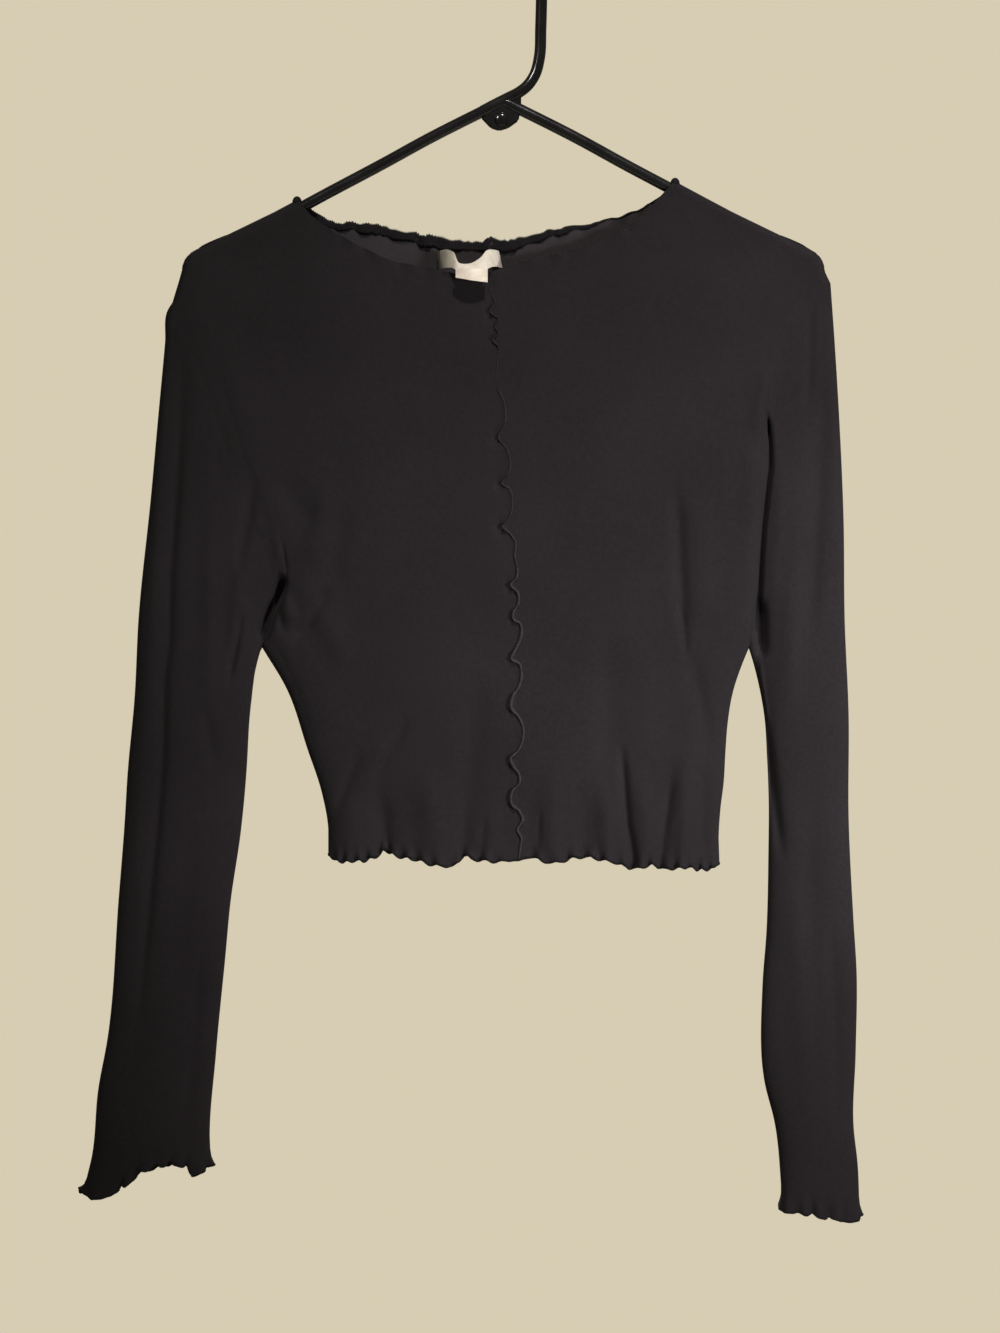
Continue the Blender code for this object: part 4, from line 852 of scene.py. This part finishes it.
def overlocked_edge(name, path, coat, up, closed=True, size=1.0, band=1.0):
    """Rolled edge with its thread's slanting turns.

    Size is a number or rows of z and size. Band, its height over its thickness, is a number or rows
    of x and band.
    """
    if closed:
        path = np.concatenate((path, path[:1]))
    marks = marks_of(path)
    along = np.linspace(0, marks[-1], max(int(marks[-1] / EDGE_STEP), 2))
    path = np.stack([np.interp(along, marks, path[:, i]) for i in range(3)], axis=1)
    if closed:
        path, along = path[:-1], along[:-1]
    angles = 2 * pi * np.arange(EDGE_SIDES) / EDGE_SIDES
    turns = np.cos(2 * pi * along[:, None] / THREAD_PITCH + angles)
    if np.ndim(size):
        size = read_table(size, path[:, 2])[:, None]
    if np.ndim(band):
        band = read_table(band, path[:, 0])[:, None]
    path[:, 2:] -= np.maximum(band - 1, 0) * size * EDGE_R * BAND_LOW
    high, run, low_high, low_run = LUMPS
    shift = LUMP_SHIFT[0] * np.sin(along / LUMP_SHIFT[1])
    lumps = high * np.sin(along / run) + low_high * np.sin(along / low_run + shift)
    radii = size * EDGE_R * (1 + THREAD_RELIEF * turns + lumps[:, None])
    radii *= np.hypot(np.cos(angles), band * np.sin(angles))
    return add_piece(name, swept_mesh(name, path, radii, up, closed), coat)


# ---- materials
# Darkest and lightest colour of each material
TONES = {
    "jersey": ((0.0096, 0.0080, 0.0090), (0.0144, 0.0120, 0.0136)),
    # Paler copy of the jersey: partly its reverse side, partly painted light on the inside of the
    # back and a painted highlight on the ruffle's lower edge
    "jersey_paler_side_and_painted_light": ((0.019, 0.0165, 0.018), (0.029, 0.025, 0.0275)),
    # Between the two: partly the turned-out cloth, partly a painted highlight on the ruffle's upper
    # edge
    "jersey_turned_painted_highlight": ((0.0155, 0.0130, 0.0146), (0.0233, 0.0198, 0.0220)),
    "thread": ((0.0050, 0.0043, 0.0047), (0.0092, 0.0078, 0.0086)),
    "satin_cream": ((0.42, 0.37, 0.305), (0.54, 0.49, 0.42)),
    "satin_white": ((0.52, 0.44, 0.36), (0.67, 0.60, 0.52)),
    "hanger_plastic": ((0.0045, 0.0045, 0.0052), (0.0085, 0.0085, 0.0095)),
    "floor": ((0.66, 0.62, 0.54), (0.72, 0.68, 0.6)),
}
# From one rib, course or thread to the next, metres
RIB_PITCH = 0.0019
COURSE_PITCH = 0.0011
WEFT_PITCH = 0.00035
WARP_PITCH = 0.00022


class Coat:
    """A procedural material: a Principled BSDF with nodes added in front of it."""

    def __init__(self, name, **values):
        self.tones = TONES[name]
        self.material = bpy.data.materials.new(name)
        self.material.use_nodes = True
        self.tree = self.material.node_tree
        self.shader = self.tree.nodes["Principled BSDF"]
        for socket, value in values.items():
            self.shader.inputs[socket.replace("_", " ")].default_value = value
        self.where = self.node("ShaderNodeTexCoord").outputs

    def node(self, kind, *links, **values):
        """Adds a node, linking (socket, source) pairs and setting its values."""
        made = self.tree.nodes.new(kind)
        for socket, source in links:
            self.tree.links.new(source, made.inputs[socket])
        for socket, value in values.items():
            made.inputs[socket.replace("_", " ")].default_value = value
        return made

    def math(self, operation, *values):
        """Math node over sockets and numbers."""
        made = self.tree.nodes.new("ShaderNodeMath")
        made.operation = operation
        for socket, value in zip(made.inputs, values):
            if isinstance(value, (int, float)):
                socket.default_value = value
            else:
                self.tree.links.new(value, socket)
        return made.outputs[0]

    def blend(self, *parts):
        """Sum of sources, each times its weight."""
        total = None
        for source, weight in parts:
            part = source if weight == 1 else self.math("MULTIPLY", source, weight)
            total = part if total is None else self.math("ADD", total, part)
        return total

    def cloth_map(self):
        """Places across and along the cloth."""
        return self.node("ShaderNodeSeparateXYZ", ("Vector", self.where["UV"])).outputs

    def wave(self, source, pitch):
        return self.math("SINE", self.math("MULTIPLY", source, 2 * pi / pitch))

    def feed(self, socket, source):
        self.tree.links.new(source, self.shader.inputs[socket])

    def noise(self, scale, detail=3.0):
        return self.node("ShaderNodeTexNoise", ("Vector", self.where["Object"]), Scale=scale,
                         Detail=detail).outputs[0]

    def colour(self, source, start=0.0, end=1.0):
        """Base colour between the material's two, over a range of the source."""
        made = self.node("ShaderNodeValToRGB", ("Fac", source))
        for element, place, tone in zip(made.color_ramp.elements, (start, end), self.tones):
            element.position = place
            element.color = (*tone, 1)
        self.feed("Base Color", made.outputs[0])

    def bump(self, height, distance, strength):
        made = self.node("ShaderNodeBump", ("Height", height), Strength=strength, Distance=distance)
        self.feed("Normal", made.outputs[0])


def jersey_coat(name):
    """Thin black jersey with fine ribs, slightly faded and mottled. Its paler copies are partly
    painted light.
    """
    coat = Coat(name, Roughness=0.85, Sheen_Weight=0.012, Sheen_Roughness=0.5,
                Specular_IOR_Level=0.06)
    across, along, _ = coat.cloth_map()
    ribs = coat.wave(across, RIB_PITCH)
    fuzz = coat.noise(900.0)
    coat.bump(coat.blend((ribs, 0.12), (coat.wave(along, COURSE_PITCH), 0.08), (fuzz, 1)),
              distance=0.00026, strength=0.45)
    cloud, speckle = coat.noise(9.0), coat.noise(420.0, detail=1.0)
    coat.colour(coat.blend((cloud, 0.6), (speckle, 0.4), (ribs, 0.004)), 0.3, 0.72)
    return coat.material


def thread_coat():
    """Black overlock thread, a little shinier than the jersey."""
    coat = Coat("thread", Roughness=0.8, Sheen_Weight=0.01, Specular_IOR_Level=0.08)
    across, along, _ = coat.cloth_map()
    turns = coat.blend((along, 2 * pi / (THREAD_PITCH * MM)), (across, 1 / (EDGE_R * MM)))
    coat.bump(coat.math("SINE", coat.math("MULTIPLY", turns, THREAD_TWIST)),
              distance=0.00012, strength=0.5)
    coat.colour(coat.noise(700.0), 0.3, 0.75)
    return coat.material


def satin_coat(name):
    """Woven satin tape, with a fine weft across it."""
    coat = Coat(name, Roughness=0.42, Sheen_Weight=0.15, Specular_IOR_Level=0.5)
    across, along, _ = coat.cloth_map()
    coat.bump(coat.blend((coat.wave(along, WEFT_PITCH), 1), (coat.wave(across, WARP_PITCH), 0.4)),
              distance=0.00005, strength=0.5)
    coat.colour(coat.noise(160.0), 0.3, 0.7)
    return coat.material


def plastic_coat():
    """Glossy black moulded plastic with faint handling marks."""
    coat = Coat("hanger_plastic", Specular_IOR_Level=0.35, Coat_Weight=0.1, Coat_Roughness=0.08)
    cloud = coat.noise(45.0, detail=5.0)
    rough = coat.node("ShaderNodeMapRange", ("Value", cloud), From_Min=0.3, From_Max=0.75,
                      To_Min=0.14, To_Max=0.24)
    coat.feed("Roughness", rough.outputs[0])
    coat.bump(coat.noise(260.0), distance=0.00006, strength=0.35)
    coat.colour(cloud, 0.3, 0.7)
    return coat.material


# ---- pieces
def make_ruffle(coat, upper_coat, lower_coat):
    """The centre seam's edges, stretched by their overlocking so that they stand out in waves."""
    edge_x, z = curve_points(RUFFLE_EDGE, RUFFLE_FINE).T
    centre_top, centre_end = CENTRE(0.0)[1], CENTRE(1.0)[1]
    x = CENTRE((z - centre_top) / (centre_end - centre_top))[:, 0]
    base = body_depth("left", "front", np.zeros(len(x)), x, z, SEAM_EDGE, 1.0)
    high = read_table(RUFFLE_OUT, z) + KINK_LIFT * ease((x - edge_x) / KINK_RUN)
    rows = []
    for out in np.linspace(0, 1, RUFFLE_ROWS):
        share = mix(RUFFLE_ROOT, 1.0, out) * ease(out * RUFFLE_RISE)
        rows.append(np.stack((mix(x, edge_x, share), -base - high * out, z), axis=1))
    pieces = [add_sheet("ruffle", rows, coat, "front_seam_ruffle")]
    thin = read_table(EDGE_THIN, z) * ease(np.gradient(edge_x, z))
    size = list(zip(z, read_table(RUFFLE_SIZE, z) * (1 - thin)))
    for name, part, edge_coat in (("upper", z >= RUFFLE_SPLIT, upper_coat),
                                  ("lower", z < RUFFLE_SPLIT, lower_coat)):
        pieces.append(overlocked_edge(f"ruffle_{name}_edge", rows[-1][part], edge_coat, (0, 1, 0),
                                      closed=False, size=size))
    return pieces


def make_knob(side, coat):
    """The curl of the neck's edge, end on where it turns over the shoulder."""
    x, z = NECK_POINT[side]
    bm = bmesh.new()
    add_ball(bm, KNOB_R, KNOB_SPLIT, KNOB_SCALE, (x, 0, z + KNOB_HIGH))
    name = f"neck_{side}_knob"
    return add_piece(name, finish_mesh(bm, name), coat)


def make_label(satin, white):
    """Satin loop at the back neck and the small tab that hangs from it."""
    upper, lower = (curve_points(edge, LABEL_FINE) for edge in zip(*LABEL_LOOP))
    rows = [mix(upper, lower, t) for t in np.linspace(0, 1, LABEL_ROWS)]
    loop = add_sheet("label_loop", rows, satin, "neck_label", LABEL_SHELL)
    x, y = curve_points([row[:2] for row in TAB_EDGE], TAB_FINE).T
    top, low = read_table(TAB_EDGE, x, 2), read_table(TAB_EDGE, x, 3)
    rows = [np.stack((x, y, mix(top, low, t)), axis=1) for t in np.linspace(0, 1, TAB_ROWS)]
    tab = add_sheet("label_tab", rows, white, "neck_tab", LABEL_SHELL)
    return loop, tab


def make_hanger(coat):
    """One moulding: the loop of arms and bar, the stem with its hook, and the web with its boss."""
    arm, tip, _, _ = arm_line()
    right = np.vstack((curve_points(arm, ARM_STEPS), tip))
    loop = np.vstack((right, right[:0:-1] * np.array((-1.0, 1.0))))
    stem = curve_points(HANGER_STEM, STEM_STEPS)
    angles = np.linspace(0, HOOK_END, HOOK_STEPS)[1:]
    hook = np.stack((np.cos(angles), np.sin(angles)), axis=1) * HOOK_R
    hook += np.array((0, -(HOOK_R - TUBE_R)))
    bm = bmesh.new()
    for line, closed in ((loop, True), (np.vstack((stem, hook)), False)):
        path = np.stack((line[:, 0], np.zeros(len(line)), line[:, 1]), axis=1)
        radii = np.full((len(path), TUBE_SIDES), TUBE_R)
        bm.from_mesh(swept_mesh("tube", path, radii, (0, 1, 0), closed))
    web_and_boss(bm)
    mesh = finish_mesh(bm, "hanger_moulding")
    mesh.set_sharp_from_angle(angle=SHARP_ANGLE)
    return add_piece("hanger_moulding", mesh, coat, ("hanger",))


def web_and_boss(bm):
    """Plate with softened edges between the arms, and the domed boss on both its faces."""
    front = [bm.verts.new((x * MM, -WEB_WALL / 2 * MM, z * MM)) for x, z in HANGER_WEB]
    plate = bm.faces.new(front)
    moved = bmesh.ops.extrude_face_region(bm, geom=[plate])["geom"]
    bmesh.ops.translate(bm, vec=(0, WEB_WALL * MM, 0),
                        verts=[item for item in moved if isinstance(item, bmesh.types.BMVert)])
    edges = {edge for vert in front for edge in vert.link_edges}
    edges |= {item for item in moved if isinstance(item, bmesh.types.BMEdge)}
    bmesh.ops.bevel(bm, geom=list(edges), offset=WEB_BEVEL * MM, segments=3, affect="EDGES")
    for face in FACES.values():
        add_ball(bm, BOSS_R, BOSS_SPLIT, (1, BOSS_RISE / BOSS_R, 1),
                 (BOSS[0], face * WEB_WALL / 2, BOSS[1]))


def make_garment():
    """The top's panels and sleeves, what is sewn on them, and how each hangs as a sheet."""
    jersey, paler_side_and_painted_light = jersey_coat("jersey"), jersey_coat("jersey_paler_side_and_painted_light")
    thread = thread_coat()
    halves = {(side, face): panel_grid(side, face) for side in SIDES for face in FACES}
    fronts = {side: add_sheet(f"front_{side}_jersey", halves[side, "front"], jersey,
                              f"front_{side}") for side in SIDES}
    back_grid = np.concatenate((halves["left", "back"][:, ::-1], halves["right", "back"][:, 1:]),
                               axis=1)
    # The back's inside face is the paler jersey: partly its reverse side, partly painted light where
    # that inside catches the light
    back = add_sheet("back_jersey", back_grid, paler_side_and_painted_light, "back", inside=jersey)
    edges = []
    # The back neck's wide band in the darker thread is partly painted shade along the back neck
    for face, coat in (("front", jersey), ("back", thread)):
        path = np.vstack((halves["left", face][0, NECK_FINE:0:-1],
                          halves["right", face][0, :NECK_FINE + 1]))
        edges.append(overlocked_edge(f"neck_{face}_edge", path, coat, (0, 0, 1), closed=False,
                                     size=NECK_SIZE[face], band=NECK_BAND[face]))
    edges += [make_knob(side, thread) for side in SIDES]
    round_hem = np.vstack((halves["left", "front"][-1, :0:-1], halves["right", "front"][-1],
                           halves["right", "back"][-1, :0:-1], halves["left", "back"][-1]))
    edges.append(overlocked_edge("hem_edge", round_hem, thread, (0, 0, 1), size=HEM_SIZE,
                                 band=HEM_BAND))
    # The ruffle's edges are paler than the jersey: partly the turned-out cloth, partly a painted
    # highlight along the ridge
    ruffle = make_ruffle(jersey, jersey_coat("jersey_turned_painted_highlight"), paler_side_and_painted_light)
    for side, area in (("left", 0.084), ("right", 0.070)):
        grid = sleeve_grid(side)
        sleeve = add_sheet(f"sleeve_{side}_jersey", grid, jersey, f"sleeve_{side}", closed=True)
        cuff = overlocked_edge(f"cuff_{side}_edge", grid[-1], thread, (0, 0, 1), size=CUFF_SIZE,
                               band=HEM_BAND)
    loop, tab = make_label(satin_coat("satin_cream"), satin_coat("satin_white"))


# ---- camera, light and floor
PICTURE = (-2.2, -469.3)  # middle of the picture: x, z
PICTURE_HIGH = 886.4  # height that it shows there
CAMERA_BACK = 2600.0
SENSOR = 36.0


def make_camera():
    """The photo's view, from straight in front."""
    data = bpy.data.cameras.new("camera")
    camera = add_object("camera", data)
    data.sensor_fit = "VERTICAL"
    data.sensor_height = SENSOR
    data.lens = SENSOR * CAMERA_BACK / PICTURE_HIGH
    camera.location = Vector((PICTURE[0], -CAMERA_BACK, PICTURE[1])) * MM
    camera.rotation_euler = (pi / 2, 0, 0)
    bpy.context.scene.camera = camera


# Lamps: place and aim in m, angle of the cone, radius in m, power in W, colour
LAMPS = {
    "key": ((0.40, -1.78, 2.18), (0.46, 0, -0.28), 36, 0.08, 512.0, (1.0, 0.965, 0.92)),
    "side": ((1.30, -1.21, -0.52), (0.25, 0, -0.50), 30, 0.25, 300.0, (0.96, 1.0, 1.0)),
    "glint": ((-1.23, -1.52, 0.85), (0, 0, -0.1), 40, 0.24, 120.0, (1.0, 0.98, 0.95)),
    "belly": ((-0.10, -1.90, -0.50), (-0.06, 0, -0.53), 14, 0.10, 31.0, (1.0, 0.955, 0.93)),
    "rear_key": ((-0.52, 2.00, 1.75), (0, 0, -0.47), 60, 0.10, 800.0, (1.0, 0.97, 0.93)),
    "rear_fill": ((1.2, 1.3, -0.3), (0, 0, -0.47), 70, 0.60, 60.0, (0.95, 0.97, 1.0)),
}
FLOOR_Z = -1.55
FLOOR_SIZE = 2.4
BACKDROP = (0.68, 0.61, 0.455)
AMBIENT = 0.20  # the surroundings' light on the part, as a share of how bright they look


def make_light():
    """Soft spot lamps in front and behind, and a pale studio around them."""
    for name, (place, aim, cone, radius, power, colour) in LAMPS.items():
        data = bpy.data.lights.new(name, "SPOT")
        data.energy, data.shadow_soft_size, data.color = power, radius, colour
        data.spot_size, data.spot_blend = radians(cone), 1.0
        lamp = add_object(name, data)
        lamp.location = place
        lamp.rotation_euler = (Vector(aim) - lamp.location).to_track_quat("-Z", "Y").to_euler()
        lamp.visible_glossy = name in ("key", "glint")
        lamp.visible_diffuse = name != "glint"
    world = bpy.data.worlds.new("studio")
    world.use_nodes = True
    tree = world.node_tree
    seen = tree.nodes["Background"]
    lit = tree.nodes.new("ShaderNodeBackground")
    for node, strength in ((seen, 1.0), (lit, AMBIENT)):
        node.inputs["Color"].default_value = (*BACKDROP, 1)
        node.inputs["Strength"].default_value = strength
    ray = tree.nodes.new("ShaderNodeLightPath")
    choice = tree.nodes.new("ShaderNodeMixShader")
    tree.links.new(ray.outputs["Is Camera Ray"], choice.inputs["Fac"])
    tree.links.new(lit.outputs[0], choice.inputs[1])
    tree.links.new(seen.outputs[0], choice.inputs[2])
    tree.links.new(choice.outputs[0], tree.nodes["World Output"].inputs["Surface"])
    bpy.context.scene.world = world
    bpy.context.scene.view_settings.view_transform = "Standard"


def make_floor():
    bm = bmesh.new()
    bmesh.ops.create_grid(bm, x_segments=1, y_segments=1, size=FLOOR_SIZE / 2)
    floor = add_object("floor", finish_mesh(bm, "floor"))
    floor.location = (0, 0, FLOOR_Z)
    coat = Coat("floor", Roughness=0.8)
    coat.colour(coat.noise(3.0))
    floor.data.materials.append(coat.material)


make_camera()
make_garment()
make_hanger(plastic_coat())
make_light()
make_floor()
